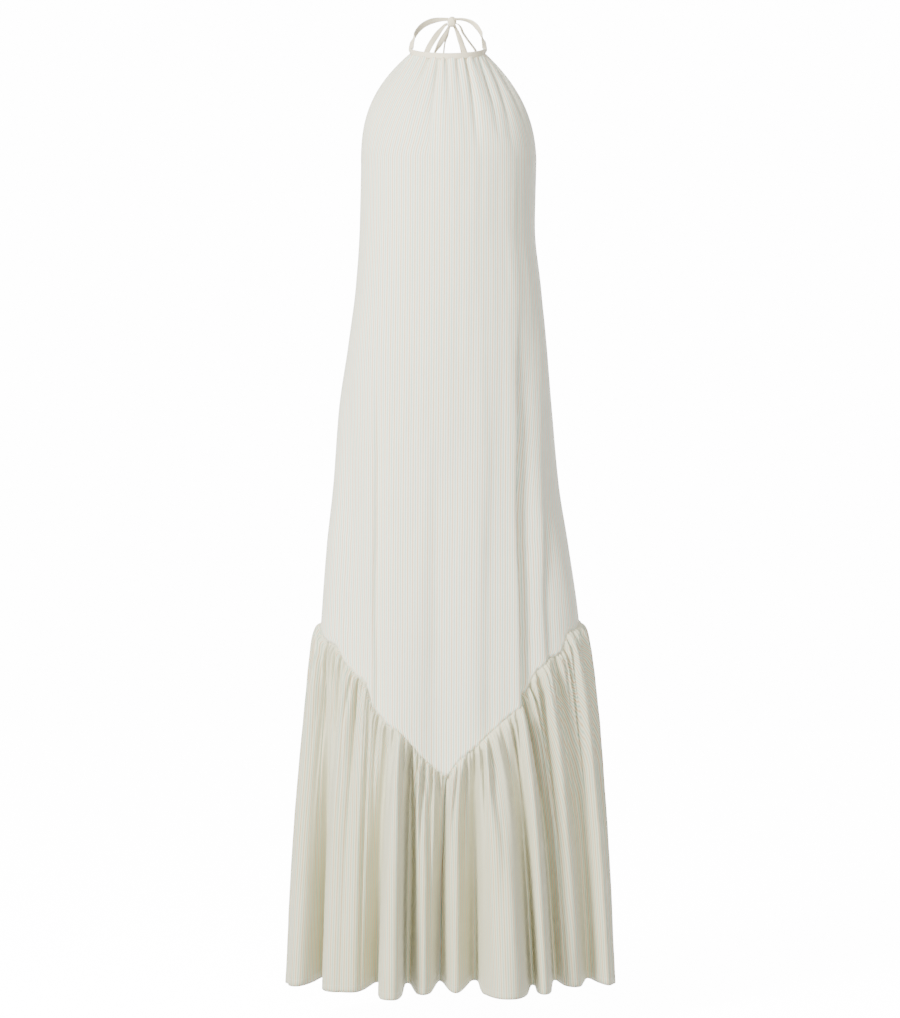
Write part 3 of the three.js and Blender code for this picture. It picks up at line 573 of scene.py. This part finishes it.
def seam_gathers(along_seam, below):
    """How far the gathers push the flounce out under its seam."""
    total = 0
    for k, (spacing, depth, grown, reach) in enumerate(SEAM_GATHERS):
        shift = GATHER_SHIFT * soft_noise(50 + k, along_seam / (spacing * 2.6))
        sway = GATHER_SWAY * soft_noise(60 + k, along_seam / spacing / 2, below / (reach * 0.9))
        wave = gathered_wave(FULL_TURN * along_seam / spacing + shift + sway)
        spread = GATHER_SPREAD * soft_noise(70 + k, along_seam / (spacing * 1.7))
        strength = np.clip(1 + spread, GATHER_LEAST, GATHER_MOST)
        total = total + depth * strength * wave * under_seam(below, grown, reach)
    return total


def seam_valleys(along_seam, below):
    """How far the narrow valleys cut into the flounce under its seam."""
    total = 0
    for at, depth, wide, opened, reach in SEAM_VALLEYS:
        away = (along_seam - np.interp(at, SEAM_PLACES, SEAM_LENGTHS)) / wide
        total = total + depth * np.exp(-(away**2)) * under_seam(below, opened, reach)
    return total


def flounce_creases(hem_at, below):
    total = 0
    for k, (depth, spacing, lean, spacing_down, grown) in enumerate(FLOUNCE_CREASES):
        crease = soft_noise(81 + k, hem_at / spacing + below / lean, below / spacing_down)
        total = total + depth * crease * ease(below / grown)
    return total


def centre_seam(place, below):
    """How far the flounce is drawn in along its own seam at centre front."""
    away = (place - np.where(place > 2, 4, 0)) * QUARTER_SEAM / CENTRE_SEAM_WIDTH
    return CENTRE_SEAM_DEPTH * np.exp(-(away**2)) * np.exp(-below / CENTRE_SEAM_REACH) * ease(below / 6)


def flounce_point(place, down):
    """A point of the flounce at a place round the seam and a share of the way down to the hem."""
    top = lower_edge(place)
    place = np.broadcast_to(place, (down + place).shape)
    turn = RIGHT_ANGLE * ring_place(place)
    out_x, out_y = np.sin(turn), -np.cos(turn)
    ring_x = HEM_HALF_WIDTH * out_x
    ring_y = HEM_MIDDLE_Y + HEM_HALF_DEPTH * filled_out(out_y, BODY_FILL)
    hem_at = cloth_at(place)
    fold_x = np.interp(hem_at, HEM_LENGTHS, HEM_LINE[:, 0]) - ring_x
    fold_y = np.interp(hem_at, HEM_LENGTHS, HEM_LINE[:, 1]) - ring_y
    inside = np.clip(-(fold_x * out_x + fold_y * out_y) / HEM_LIFT_DEPTH, 0, 1)
    z = mix(top[..., 2] + 1, HEM_Z + HEM_LIFT * inside, down)
    below = top[..., 2] - z
    along_seam = np.interp(place, SEAM_PLACES, SEAM_LENGTHS)
    push = PUFF_OUT * (1 - PUFF_LESS_AT_SIDES * out_x**4) * under_seam(below, PUFF_GROWN, PUFF_REACH)
    push = push + seam_gathers(along_seam, below) - seam_valleys(along_seam, below)
    push = push + flounce_creases(hem_at, below) - centre_seam(place, below)
    spread = SWING_EARLY * (1 - (1 - down) ** 3) + (1 - SWING_EARLY) * down**1.5
    folded = down**FOLDS_GROW
    face_x, face_y = out_x / HEM_HALF_WIDTH, out_y / HEM_HALF_DEPTH
    steep = np.hypot(face_x, face_y)
    x = mix(top[..., 0], ring_x, spread) + fold_x * folded + face_x / steep * push
    y = mix(top[..., 1], ring_y, spread) + fold_y * folded + face_y / steep * push
    return np.stack(np.broadcast_arrays(x, y, z), axis=-1)


# Materials
def feed(tree, socket, value):
    """Links an output to a socket, or sets the socket's own value."""
    if isinstance(value, bpy.types.NodeSocket):
        tree.links.new(value, socket)
    else:
        socket.default_value = value


def add_node(tree, kind, **inputs):
    made = tree.nodes.new(kind)
    for name, value in inputs.items():
        feed(tree, made.inputs[name.replace("_", " ")], value)
    return made


def new_material(name, roughness, sheen):
    material = bpy.data.materials.new(name)
    material.use_nodes = True
    tree = material.node_tree
    shader = tree.nodes["Principled BSDF"]
    shader.inputs["Roughness"].default_value = roughness
    shader.inputs["Sheen Weight"].default_value = sheen
    shader.inputs["Sheen Roughness"].default_value = 0.5
    shader.inputs["Specular IOR Level"].default_value = 0.2
    return material, tree, shader


def calculate(tree, operation, *values):
    made = tree.nodes.new("ShaderNodeMath")
    made.operation = operation
    for socket, value in zip(made.inputs, values):
        feed(tree, socket, value)
    return made.outputs[0]


def blend(tree, share, first, second):
    """A colour between two; a mix node's seventh and eighth inputs and third output are its colours."""
    made = tree.nodes.new("ShaderNodeMix")
    made.data_type = "RGBA"
    for socket, value in zip((made.inputs[0], made.inputs[6], made.inputs[7]), (share, first, second)):
        feed(tree, socket, value)
    return made.outputs[2]


def spread_over(tree, value, start, end, at_start, at_end):
    """A value that runs from at_start to at_end while the given one runs from start to end."""
    ends = {"From_Min": start, "From_Max": end, "To_Min": at_start, "To_Max": at_end}
    return add_node(tree, "ShaderNodeMapRange", Value=value, **ends).outputs[0]


def noise(tree, place, scale, detail):
    return add_node(tree, "ShaderNodeTexNoise", Vector=place, Scale=scale, Detail=detail).outputs[0]


def cloth_coordinates(tree):
    """The cloth's own coordinates in metres, whole, across and along."""
    uv = tree.nodes.new("ShaderNodeUVMap").outputs[0]
    split = tree.nodes.new("ShaderNodeSeparateXYZ")
    tree.links.new(uv, split.inputs[0])
    return uv, split.outputs[0], split.outputs[1]


def cloth_surface(tree, shader, uv, x, y, colour, mottle):
    """Gives a cloth's colour uneven tone, slubs and the relief of a plain weave."""
    stretched = add_node(tree, "ShaderNodeMapping", Vector=uv, Scale=SLUB_SCALE)
    slubs = noise(tree, stretched.outputs[0], 1.0, 3.0)
    tone = calculate(tree, "ADD", slubs, noise(tree, uv, CLOUD_SCALE, 4.0))
    tone = spread_over(tree, tone, *TONE_RANGE, 0.0, 1.0)
    feed(tree, shader.inputs["Base Color"], blend(tree, tone, mottle, colour))
    over, under = (
        calculate(tree, "SINE", calculate(tree, "MULTIPLY", along, THREADS * math.pi)) for along in (x, y)
    )
    height = calculate(tree, "ADD", calculate(tree, "MULTIPLY", over, under), slubs)
    relief = add_node(
        tree, "ShaderNodeBump", Height=height, Strength=RELIEF_STRENGTH, Distance=RELIEF_HEIGHT
    )
    feed(tree, shader.inputs["Normal"], relief.outputs[0])


def stripe_mask(tree, x, offset):
    """1 on a stripe and 0 between stripes; the offset is a share of the spacing.

    The whole spacings that are added keep every place above 0.
    """
    turns = calculate(tree, "DIVIDE", x, STRIPE_SPACING * METRES)
    place = calculate(tree, "FRACT", calculate(tree, "ADD", turns, SPACINGS_ADDED + 0.5 - offset))
    away = calculate(tree, "ABSOLUTE", calculate(tree, "SUBTRACT", place, 0.5))
    inner, outer = (STRIPE_HALF_WIDTH * edge for edge in STRIPE_EDGE)
    return spread_over(tree, away, inner, outer, 1.0, 0.0)


def striped_cloth(name, colours, layered_and_painted_light=None):
    """Ivory cloth with a tan and a sage pinstripe by turns, each half a spacing from the next.

    Cloth given a top colour is lighter towards its top: partly its gathered layers, partly painted light
    where more light falls near the seam.
    """
    material, tree, shader = new_material(name, 0.9, 0.06)
    uv, x, y = cloth_coordinates(tree)
    drift = calculate(tree, "MULTIPLY", noise(tree, uv, SWAY_SCALE, 2.0), STRIPE_SWAY)
    swayed = calculate(tree, "ADD", x, drift)
    colour, tan, sage = colours
    if layered_and_painted_light:
        # Painted light, partly gathered layers: lighter at the seam, fading out down the cloth
        layered_and_painted_light_mask = spread_over(tree, y, 0.0, LAYERED_AND_PAINTED_LIGHT_REACH, LAYERED_AND_PAINTED_LIGHT_SHARE, 0.0)
        colour = blend(tree, layered_and_painted_light_mask, colour, layered_and_painted_light)
    colour = blend(tree, stripe_mask(tree, swayed, 0.0), colour, tan)
    colour = blend(tree, stripe_mask(tree, swayed, 0.5), colour, sage)
    mottle = blend(tree, MOTTLE_SHARE, colour, MOTTLE_COLOUR)
    cloth_surface(tree, shader, uv, x, y, colour, mottle)
    return material


def plain_cloth():
    material, tree, shader = new_material("plain_binding_cloth", 0.9, 0.08)
    cloth_surface(tree, shader, *cloth_coordinates(tree), *BINDING_COLOURS)
    return material


def grained(name, roughness, scale, detail, colours):
    """A plain finish whose colour varies a little through the object."""
    material, tree, shader = new_material(name, roughness, 0.0)
    place = tree.nodes.new("ShaderNodeTexCoord").outputs["Object"]
    feed(tree, shader.inputs["Base Color"], blend(tree, noise(tree, place, scale, detail), *colours))
    return material, shader


def floor_finish():
    material, shader = grained("pale_floor", 0.95, 3.0, 2.0, FLOOR_COLOURS)
    shader.inputs["Emission Color"].default_value = WHITE
    shader.inputs["Emission Strength"].default_value = FLOOR_GLOW
    return material


STRIPED = striped_cloth("ivory_pinstripe_cloth", PANEL_COLOURS)
# The flounce cloth has darker colours, partly for the sheer unlined cloth and partly as painted shade
FLOUNCE_UNLINED_AND_PAINTED_SHADE_CLOTH = striped_cloth("unlined_painted_shade_pinstripe_cloth", FLOUNCE_UNLINED_AND_PAINTED_SHADE_COLOURS, LAYERED_AND_PAINTED_LIGHT_COLOUR)
PLAIN = plain_cloth()
THREAD = grained("sewing_thread", 0.6, 900.0, 1.0, THREAD_COLOURS)[0]
FLOOR = floor_finish()


# Mesh making
def new_object(name, points, faces, material, uv=None):
    """A smooth mesh from points in millimetres; uv has one pair in millimetres for each point."""
    mesh = bpy.data.meshes.new(name)
    mesh.from_pydata((np.asarray(points) * METRES).tolist(), [], faces)
    mesh.materials.append(material)
    mesh.polygons.foreach_set("use_smooth", np.ones(len(mesh.polygons), bool))
    if uv is not None:
        corners = np.zeros(len(mesh.loops), int)
        mesh.loops.foreach_get("vertex_index", corners)
        layer = mesh.uv_layers.new(name="cloth")
        layer.data.foreach_set("uv", (np.asarray(uv) * METRES)[corners].astype(np.float32).ravel())
    mesh.update()
    made = bpy.data.objects.new(name, mesh)
    bpy.context.collection.objects.link(made)
    return made


def cloth_sheet(name, grid, uv, material):
    """A wall of cloth from a grid of outer points, [row][column], with columns to the viewer's right."""
    rows, columns = grid.shape[:2]
    i, j = np.meshgrid(np.arange(rows - 1), np.arange(columns - 1), indexing="ij")
    corner = (i * columns + j).ravel()
    faces = np.stack((corner, corner + columns, corner + columns + 1, corner + 1), axis=1).tolist()
    made = new_object(name, grid.reshape(-1, 3), faces, material, uv.reshape(-1, 2))
    wall = made.modifiers.new("wall", "SOLIDIFY")
    wall.thickness = CLOTH_THICK * METRES
    wall.offset = -1
    return made


def tube_faces(rings, sides):
    """Faces round a closed tube of rings, with both ends shut."""
    first, k = np.arange(rings - 1)[:, None] * sides, np.arange(sides)[None, :]
    a, b = (first + k).ravel(), (first + (k + 1) % sides).ravel()
    faces = np.stack((a, a + sides, b + sides, b), axis=1).tolist()
    return faces + [list(range(sides)), [(rings - 1) * sides + i for i in reversed(range(sides))]]


def catmull_rom(points, steps):
    """Evenly spaced points on a smooth curve through the given ones, and its length."""
    points = np.array(points, float)
    ends = np.concatenate(([2 * points[0] - points[1]], points, [2 * points[-1] - points[-2]]))
    t = np.linspace(0, 1, 25)[:-1, None]
    fine = []
    for a, b, c, d in zip(ends, ends[1:], ends[2:], ends[3:]):
        fine.append(
            0.5 * (2 * b + (c - a) * t + (2 * a - 5 * b + 4 * c - d) * t**2 + (3 * b - a - 3 * c + d) * t**3)
        )
    line = np.concatenate(fine + [points[-1:]])
    lengths = lengths_along(line)
    even = np.linspace(0, lengths[-1], steps + 1)
    return np.stack([np.interp(even, lengths, line[:, k]) for k in range(3)], axis=1), lengths[-1]


def ribbon(name, route, width, thick, side_at, widths, steps, seed, sides=16, cup=STRIP_CUP):
    """A flat folded strip with soft edges and small cross creases, swept along a route, and its middle."""
    middle, length = catmull_rom(route, steps)
    along = unit(np.gradient(middle, axis=0))
    share = np.linspace(0, 1, steps + 1)
    side = side_at(share)
    across = unit(side - along * (side * along).sum(axis=1, keepdims=True))
    out = np.cross(across, along)
    turn = np.linspace(0, FULL_TURN, sides, endpoint=False)
    u = filled_out(np.cos(turn), STRIP_FILL) / 2
    v = filled_out(np.sin(turn), STRIP_FILL) / 2
    run = share[:, None] * length
    crease = STRIP_CREASE * soft_noise(seed, run / STRIP_CREASE_SPACING, turn[None, :] * 1.5)
    wide = (width * widths(share))[:, None]
    points = (
        middle[:, None]
        + across[:, None] * (u * wide)[..., None]
        + out[:, None] * (v * thick + crease - cup * thick * 4 * u**2)[..., None]
    )
    uv = np.stack(np.broadcast_arrays(np.abs(u) * width, run), axis=-1)
    faces = tube_faces(steps + 1, sides)
    return new_object(name, points.reshape(-1, 3), faces, PLAIN, uv.reshape(-1, 2)), middle


# The striped panels and the flounce
FRONT_COLUMNS, FRONT_ROWS_ABOVE, FRONT_ROWS_BELOW = 224, 56, 134
BACK_COLUMNS, BACK_ROWS = 160, 110
FLOUNCE_COLUMNS, FLOUNCE_ROWS = 290, 112
ROWS_CLOSER_AT_BAND, ROWS_CLOSER_AT_SEAM = 1.1, 1.35
VALLEY_WIDTH = 0.006


def lobe_middles(edges):
    """The middle between each edge of a lobe and the next."""
    return [(a + b) / 2 for a, b in zip(edges, edges[1:])]


def across_cloth(lengths, places, valleys, at_end):
    """Distance across the cloth, true on each lobe, with what the gathers take up hidden in the valleys.

    Lengths are along one row, valleys are the places of its gathers, and at_end gives each lobe's middle
    where nothing is gathered.
    """
    middles = lobe_middles([places[0], *valleys, places[-1]])
    taken = np.maximum.accumulate(at_end - np.interp(middles, places, lengths))
    across = lengths + taken[0]
    for valley, step in zip(valleys, np.diff(taken)):
        across = across + step / (1 + np.exp(-np.clip((places - valley) / VALLEY_WIDTH, -40, 40)))
    return across


def front_panel():
    across = np.linspace(-1, 1, FRONT_COLUMNS + 1)[None, :]
    above = (np.linspace(0, 1, FRONT_ROWS_ABOVE, endpoint=False) ** ROWS_CLOSER_AT_BAND)[:, None]
    below = np.linspace(0, 1, FRONT_ROWS_BELOW + 1)[:, None]
    grid = np.concatenate((front_above(across, above), front_below(across, below)))
    u = row_lengths(grid, FRONT_COLUMNS // 2)
    lobes = lobe_middles([-1, *(gather[1] for gather in NECK_GATHERS), 1])
    at_bust = np.interp(lobes, across[0], u[FRONT_ROWS_ABOVE])
    for i, down in enumerate(above[:, 0]):
        valleys = [mix(gather[0], gather[1], down) for gather in NECK_GATHERS]
        u[i] = across_cloth(u[i], across[0], valleys, at_bust)
    uv = np.stack((u, -grid[..., 2]), axis=-1)
    return cloth_sheet("front_panel_cloth", grid, uv, STRIPED), grid


def back_panel():
    across = np.linspace(1, -1, BACK_COLUMNS + 1)[None, :]
    grid = back_point(across, np.linspace(0, 1, BACK_ROWS + 1)[:, None])
    uv = np.stack((row_lengths(grid, BACK_COLUMNS // 2), -grid[..., 2]), axis=-1)
    return cloth_sheet("back_panel_cloth", grid, uv, STRIPED), grid


def flounce_piece(name, start):
    """A quarter of the flounce, which starts at a place round the seam."""
    place = np.linspace(start, start + 1, FLOUNCE_COLUMNS + 1)[None, :]
    down = (np.linspace(0, 1, FLOUNCE_ROWS + 1) ** ROWS_CLOSER_AT_SEAM)[:, None]
    grid = flounce_point(place, down)
    places, lengths = place[0], row_lengths(grid, 0)
    troughs = [fold[4] for fold in HEM_FOLDS if fold[3] <= TROUGH_ROUNDNESS]
    troughs += [valley[0] for valley in SEAM_VALLEYS]
    valleys = sorted(at for at in troughs if start + 0.01 < at < start + 0.99)
    at_hem = np.interp(lobe_middles([start, *valleys, start + 1]), places, lengths[-1])
    u = np.array([across_cloth(row, places, valleys, at_hem) for row in lengths]) + cloth_at(start)
    uv = np.stack((u, lengths_along(grid)), axis=-1)
    return cloth_sheet(name, grid, uv, FLOUNCE_UNLINED_AND_PAINTED_SHADE_CLOTH), grid


# The plain binding: neckband, ties and bow
def laid(table):
    """The direction of a strand's width along it, from a lies table."""
    rows = np.array(table, float)

    def side_at(share):
        i = np.clip(np.searchsorted(rows[:, 0], share, side="right") - 1, 0, len(rows) - 2)
        t = ease((share - rows[i, 0]) / (rows[i + 1, 0] - rows[i, 0]))[:, None]
        return mix(rows[i, 1:], rows[i + 1, 1:], t)

    return side_at


def narrowed(by, start=0.0, end=0.0):
    """Width along a strip that narrows where the knot holds it, over shares of its length."""

    def widths(share):
        held = np.zeros_like(share)
        if start:
            held = held + ease(1 - share / start)
        if end:
            held = held + ease(1 - (1 - share) / end)
        return 1 - by * held

    return widths


def neckband():
    route = np.stack(neck_point(np.linspace(-1, 1, 41)), axis=1)
    upright = laid(((0, 0, 0, 1), (1, 0, 0, 1)))
    return ribbon(
        "neckband_cloth", route, BAND_WIDTH, BAND_THICK, upright, np.ones_like, 240, seed=7, sides=20, cup=0
    )


def neck_tie(name, side, lies):
    """A tie from the neckband's end round the neck to the knot; side is -1 on the left."""
    end = np.array(neck_point(np.array(float(side))))
    turn = np.linspace(0, RIGHT_ANGLE, 19)
    knot_edge = KNOT[0] + side * (KNOT_SIZE[0] - 1.5)
    route = np.stack(
        (
            mix(knot_edge, end[0], np.cos(turn)),
            mix(end[1] - 0.3, KNOT[1], np.sin(turn)),
            mix(end[2], KNOT[2] + TIE_RISE, 1 - (1 - np.sin(turn)) ** 1.2),
        ),
        axis=1,
    )
    return ribbon(name, route, TIE_WIDTH, TIE_THICK, laid(lies), narrowed(0.4, end=0.25), 130, 11 + side)[0]


def bow_loop(name, route, lies, seed):
    widths = narrowed(0.5, start=0.15, end=0.15)
    return ribbon(name, route, TIE_WIDTH, TIE_THICK, laid(lies), widths, 160, seed)[0]


def tie_tail(name, route, lies, seed):
    return ribbon(name, route, TIE_WIDTH, TIE_THICK, laid(lies), narrowed(0.55, start=0.2), 150, seed)


def bow_knot():
    """The wrapped knot: a soft ellipsoid with slanting folds pressed into it."""
    rows, sides, pole = 40, 56, 0.02
    polar = np.linspace(pole, math.pi - pole, rows)[:, None]
    turn = np.linspace(0, FULL_TURN, sides, endpoint=False)[None, :]
    folds = 0.06 * np.sin(4 * turn + 3.4 * np.cos(polar)) * np.sin(polar)
    folds = folds + 0.03 * np.sin(9 * turn - 5 * polar) * np.sin(polar)
    radius = 0.99 + folds
    points = np.stack(
        np.broadcast_arrays(
            KNOT[0] + KNOT_SIZE[0] * radius * np.sin(polar) * np.cos(turn),
            KNOT[1] + KNOT_SIZE[1] * radius * np.sin(polar) * np.sin(turn),
            KNOT[2] + KNOT_SIZE[2] * radius * np.cos(polar),
        ),
        axis=-1,
    )
    uv = np.stack(np.broadcast_arrays(turn * KNOT_SIZE[0], polar * KNOT_SIZE[2]), axis=-1)
    return new_object(
        "bow_knot_cloth", points.reshape(-1, 3), tube_faces(rows, sides), PLAIN, uv.reshape(-1, 2)
    )


# Stitches, set along lines by one node tree
def stitch_tree():
    tree = bpy.data.node_groups.new("stitch_row", "GeometryNodeTree")
    face = tree.interface
    face.new_socket("Line", in_out="INPUT", socket_type="NodeSocketGeometry")
    sizes = (("Pitch", STITCH_PITCH), ("Stitch length", STITCH_LENGTH), ("Thread radius", THREAD_RADIUS))
    for label, size in sizes:
        socket = face.new_socket(label, in_out="INPUT", socket_type="NodeSocketFloat")
        socket.default_value = size * METRES
    face.new_socket("Thread", in_out="INPUT", socket_type="NodeSocketMaterial")
    face.new_socket("Stitches", in_out="OUTPUT", socket_type="NodeSocketGeometry")
    given = tree.nodes.new("NodeGroupInput").outputs
    curve = add_node(tree, "GeometryNodeMeshToCurve", Mesh=given["Line"])
    spaced = tree.nodes.new("GeometryNodeResampleCurve")
    spaced.mode = "LENGTH"
    feed(tree, spaced.inputs["Curve"], curve.outputs["Curve"])
    feed(tree, spaced.inputs["Length"], given["Pitch"])
    thread = add_node(
        tree, "GeometryNodeMeshCylinder", Vertices=THREAD_SIDES, Radius=given["Thread radius"],
        Depth=given["Stitch length"],
    )
    tangent = tree.nodes.new("GeometryNodeInputTangent")
    turn = add_node(tree, "FunctionNodeAlignEulerToVector", Vector=tangent.outputs["Tangent"])
    turn.axis = "Z"
    placed = add_node(
        tree, "GeometryNodeInstanceOnPoints", Points=spaced.outputs["Curve"], Instance=thread.outputs["Mesh"],
        Rotation=turn.outputs["Rotation"],
    )
    real = add_node(tree, "GeometryNodeRealizeInstances", Geometry=placed.outputs["Instances"])
    finish = add_node(
        tree, "GeometryNodeSetMaterial", Geometry=real.outputs["Geometry"], Material=given["Thread"]
    )
    add_node(tree, "NodeGroupOutput", Stitches=finish.outputs["Geometry"])
    return tree


def stitches(name, lines):
    """A plain mesh of stitches along lines of points in millimetres."""
    points = np.concatenate(lines) * METRES
    edges, first = [], 0
    for line in lines:
        edges += [(first + i, first + i + 1) for i in range(len(line) - 1)]
        first += len(line)
    path = bpy.data.meshes.new(name + "_path")
    path.from_pydata(points.tolist(), edges, [])
    carrier = bpy.data.objects.new(name + "_path", path)
    bpy.context.collection.objects.link(carrier)
    rows = carrier.modifiers.new("stitches", "NODES")
    rows.node_group = STITCH_TREE
    for item in STITCH_TREE.interface.items_tree:
        if item.name == "Thread" and item.in_out == "INPUT":
            rows[item.identifier] = THREAD
    ready = carrier.evaluated_get(bpy.context.evaluated_depsgraph_get())
    mesh = bpy.data.meshes.new_from_object(ready)
    bpy.data.objects.remove(carrier)
    made = bpy.data.objects.new(name, mesh)
    bpy.context.collection.objects.link(made)
    return made


def raised(grid):
    """A sheet's grid of points, moved out along its normals to where the stitches lie."""
    down, along = np.gradient(grid, axis=0), np.gradient(grid, axis=1)
    return grid + STITCH_LIFT * unit(np.cross(down, along))


def row_at_depth(grid, depth, from_end=False):
    """A line just outside a sheet, at a distance from its upper or lower edge."""
    lengths, lifted = lengths_along(grid), raised(grid)
    wanted = lengths[-1] - depth if from_end else np.full(grid.shape[1], depth)
    line = [
        [np.interp(wanted[j], lengths[:, j], lifted[:, j, k]) for k in range(3)] for j in range(grid.shape[1])
    ]
    return np.array(line)


def armhole_lines(grid):
    edges = raised(grid)[2:FRONT_ROWS_ABOVE]
    return [edges[:, ARMHOLE_INSET_COLUMNS], edges[:, -1 - ARMHOLE_INSET_COLUMNS]]


def band_stitch_line(middle):
    """A line on the outer face of the neckband, near its lower edge."""
    away = middle - np.array((NECK_X, NECK_SIDE_Y, 0))
    away[:, 2] = 0
    line = middle + unit(away) * (BAND_THICK / 2 + BAND_STITCH_LIFT)
    return (line - np.array((0, 0, BAND_WIDTH * BAND_STITCH_DROP)))[2:-2]


# The dress
front, front_grid = front_panel()
back, back_grid = back_panel()
flounces = {
    part_name: flounce_piece(part_name + "_cloth", start)
    for start, part_name in enumerate(
        ("flounce_front_right", "flounce_back_right", "flounce_back_left", "flounce_front_left")
    )
}
band, band_line = neckband()
tie_left = neck_tie("neck_tie_left_cloth", -1, TIE_LEFT_LIES)
tie_right = neck_tie("neck_tie_right_cloth", 1, TIE_RIGHT_LIES)
loop_left = bow_loop("bow_loop_left_cloth", LOOP_LEFT, LOOP_LEFT_LIES, 21)
loop_right = bow_loop("bow_loop_right_cloth", LOOP_RIGHT, LOOP_RIGHT_LIES, 22)
tail_left, tail_left_line = tie_tail("tie_tail_left_cloth", TAIL_LEFT, TAIL_LEFT_LIES, 23)
tail_right, tail_right_line = tie_tail("tie_tail_right_cloth", TAIL_RIGHT, TAIL_RIGHT_LIES, 24)
knot = bow_knot()

STITCH_TREE = stitch_tree()
panel_stitches = stitches(
    "armhole_and_back_stitches", armhole_lines(front_grid) + [row_at_depth(back_grid, BACK_STITCH_DEPTH)]
)
hem_stitches = stitches(
    "hem_stitches", [row_at_depth(grid, HEM_STITCH_DEPTH, from_end=True) for _, grid in flounces.values()]
)
band_stitches = stitches("neckband_stitches", [band_stitch_line(band_line)])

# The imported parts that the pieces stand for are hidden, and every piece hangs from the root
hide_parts("front_panel")
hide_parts("back_panel")
for part_name, (piece, _) in flounces.items():
    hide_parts(part_name)
binding = {
    "neckband": band,
    "neck_tie_left": tie_left,
    "neck_tie_right": tie_right,
    "bow_loop_left": loop_left,
    "bow_loop_right": loop_right,
    "tie_tail_left": tail_left,
    "tie_tail_right": tail_right,
    "bow_knot": knot,
}
for part_name, piece in binding.items():
    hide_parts(part_name)
striped = [front, back] + [piece for piece, _ in flounces.values()]
striped += [panel_stitches, hem_stitches, band_stitches]
for piece in striped + list(binding.values()):
    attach(piece, "root")


# Floor, light and camera
def seamless_floor():
    turn = np.linspace(0, RIGHT_ANGLE, 25)
    ys = np.concatenate(([FLOOR_FRONT_Y], SWEEP_Y + SWEEP_RADIUS * np.sin(turn), [SWEEP_Y + SWEEP_RADIUS]))
    zs = np.concatenate(([0], SWEEP_RADIUS * (1 - np.cos(turn)), [FLOOR_HEIGHT])) + FLOOR_Z
    points = [(x, y, z) for y, z in zip(ys, zs) for x in (-FLOOR_HALF_WIDTH, FLOOR_HALF_WIDTH)]
    faces = [(2 * i, 2 * i + 1, 2 * i + 3, 2 * i + 2) for i in range(len(ys) - 1)]
    floor = new_object("floor", np.array(points) / METRES, faces, FLOOR)
    floor.visible_diffuse = False


def soft_box(name, place, size, power):
    light = bpy.data.lights.new(name, "AREA")
    light.shape = "RECTANGLE"
    light.size, light.size_y = size
    light.energy = power
    lamp = bpy.data.objects.new(name, light)
    lamp.location = place
    lamp.rotation_euler = (Vector(LAMP_AIM) - Vector(place)).to_track_quat("-Z", "Y").to_euler()
    bpy.context.collection.objects.link(lamp)


def studio():
    seamless_floor()
    for lamp in LAMPS:
        soft_box(*lamp)
    world = bpy.data.worlds.new("studio")
    bpy.context.scene.world = world
    world.use_nodes = True
    sky = world.node_tree.nodes["Background"]
    sky.inputs["Color"].default_value = WHITE
    sky.inputs["Strength"].default_value = SKY_STRENGTH


def photo_camera():
    data = bpy.data.cameras.new("photo_camera")
    data.lens = CAMERA_DISTANCE / MM_PER_PIXEL * SENSOR / max(PHOTO_WIDTH, PHOTO_HEIGHT)
    data.sensor_width = SENSOR
    camera = bpy.data.objects.new("photo_camera", data)
    camera.location = (0, -CAMERA_DISTANCE * METRES, CAMERA_Z * METRES)
    camera.rotation_euler = (RIGHT_ANGLE, 0, 0)
    bpy.context.collection.objects.link(camera)
    bpy.context.scene.camera = camera


studio()
photo_camera()
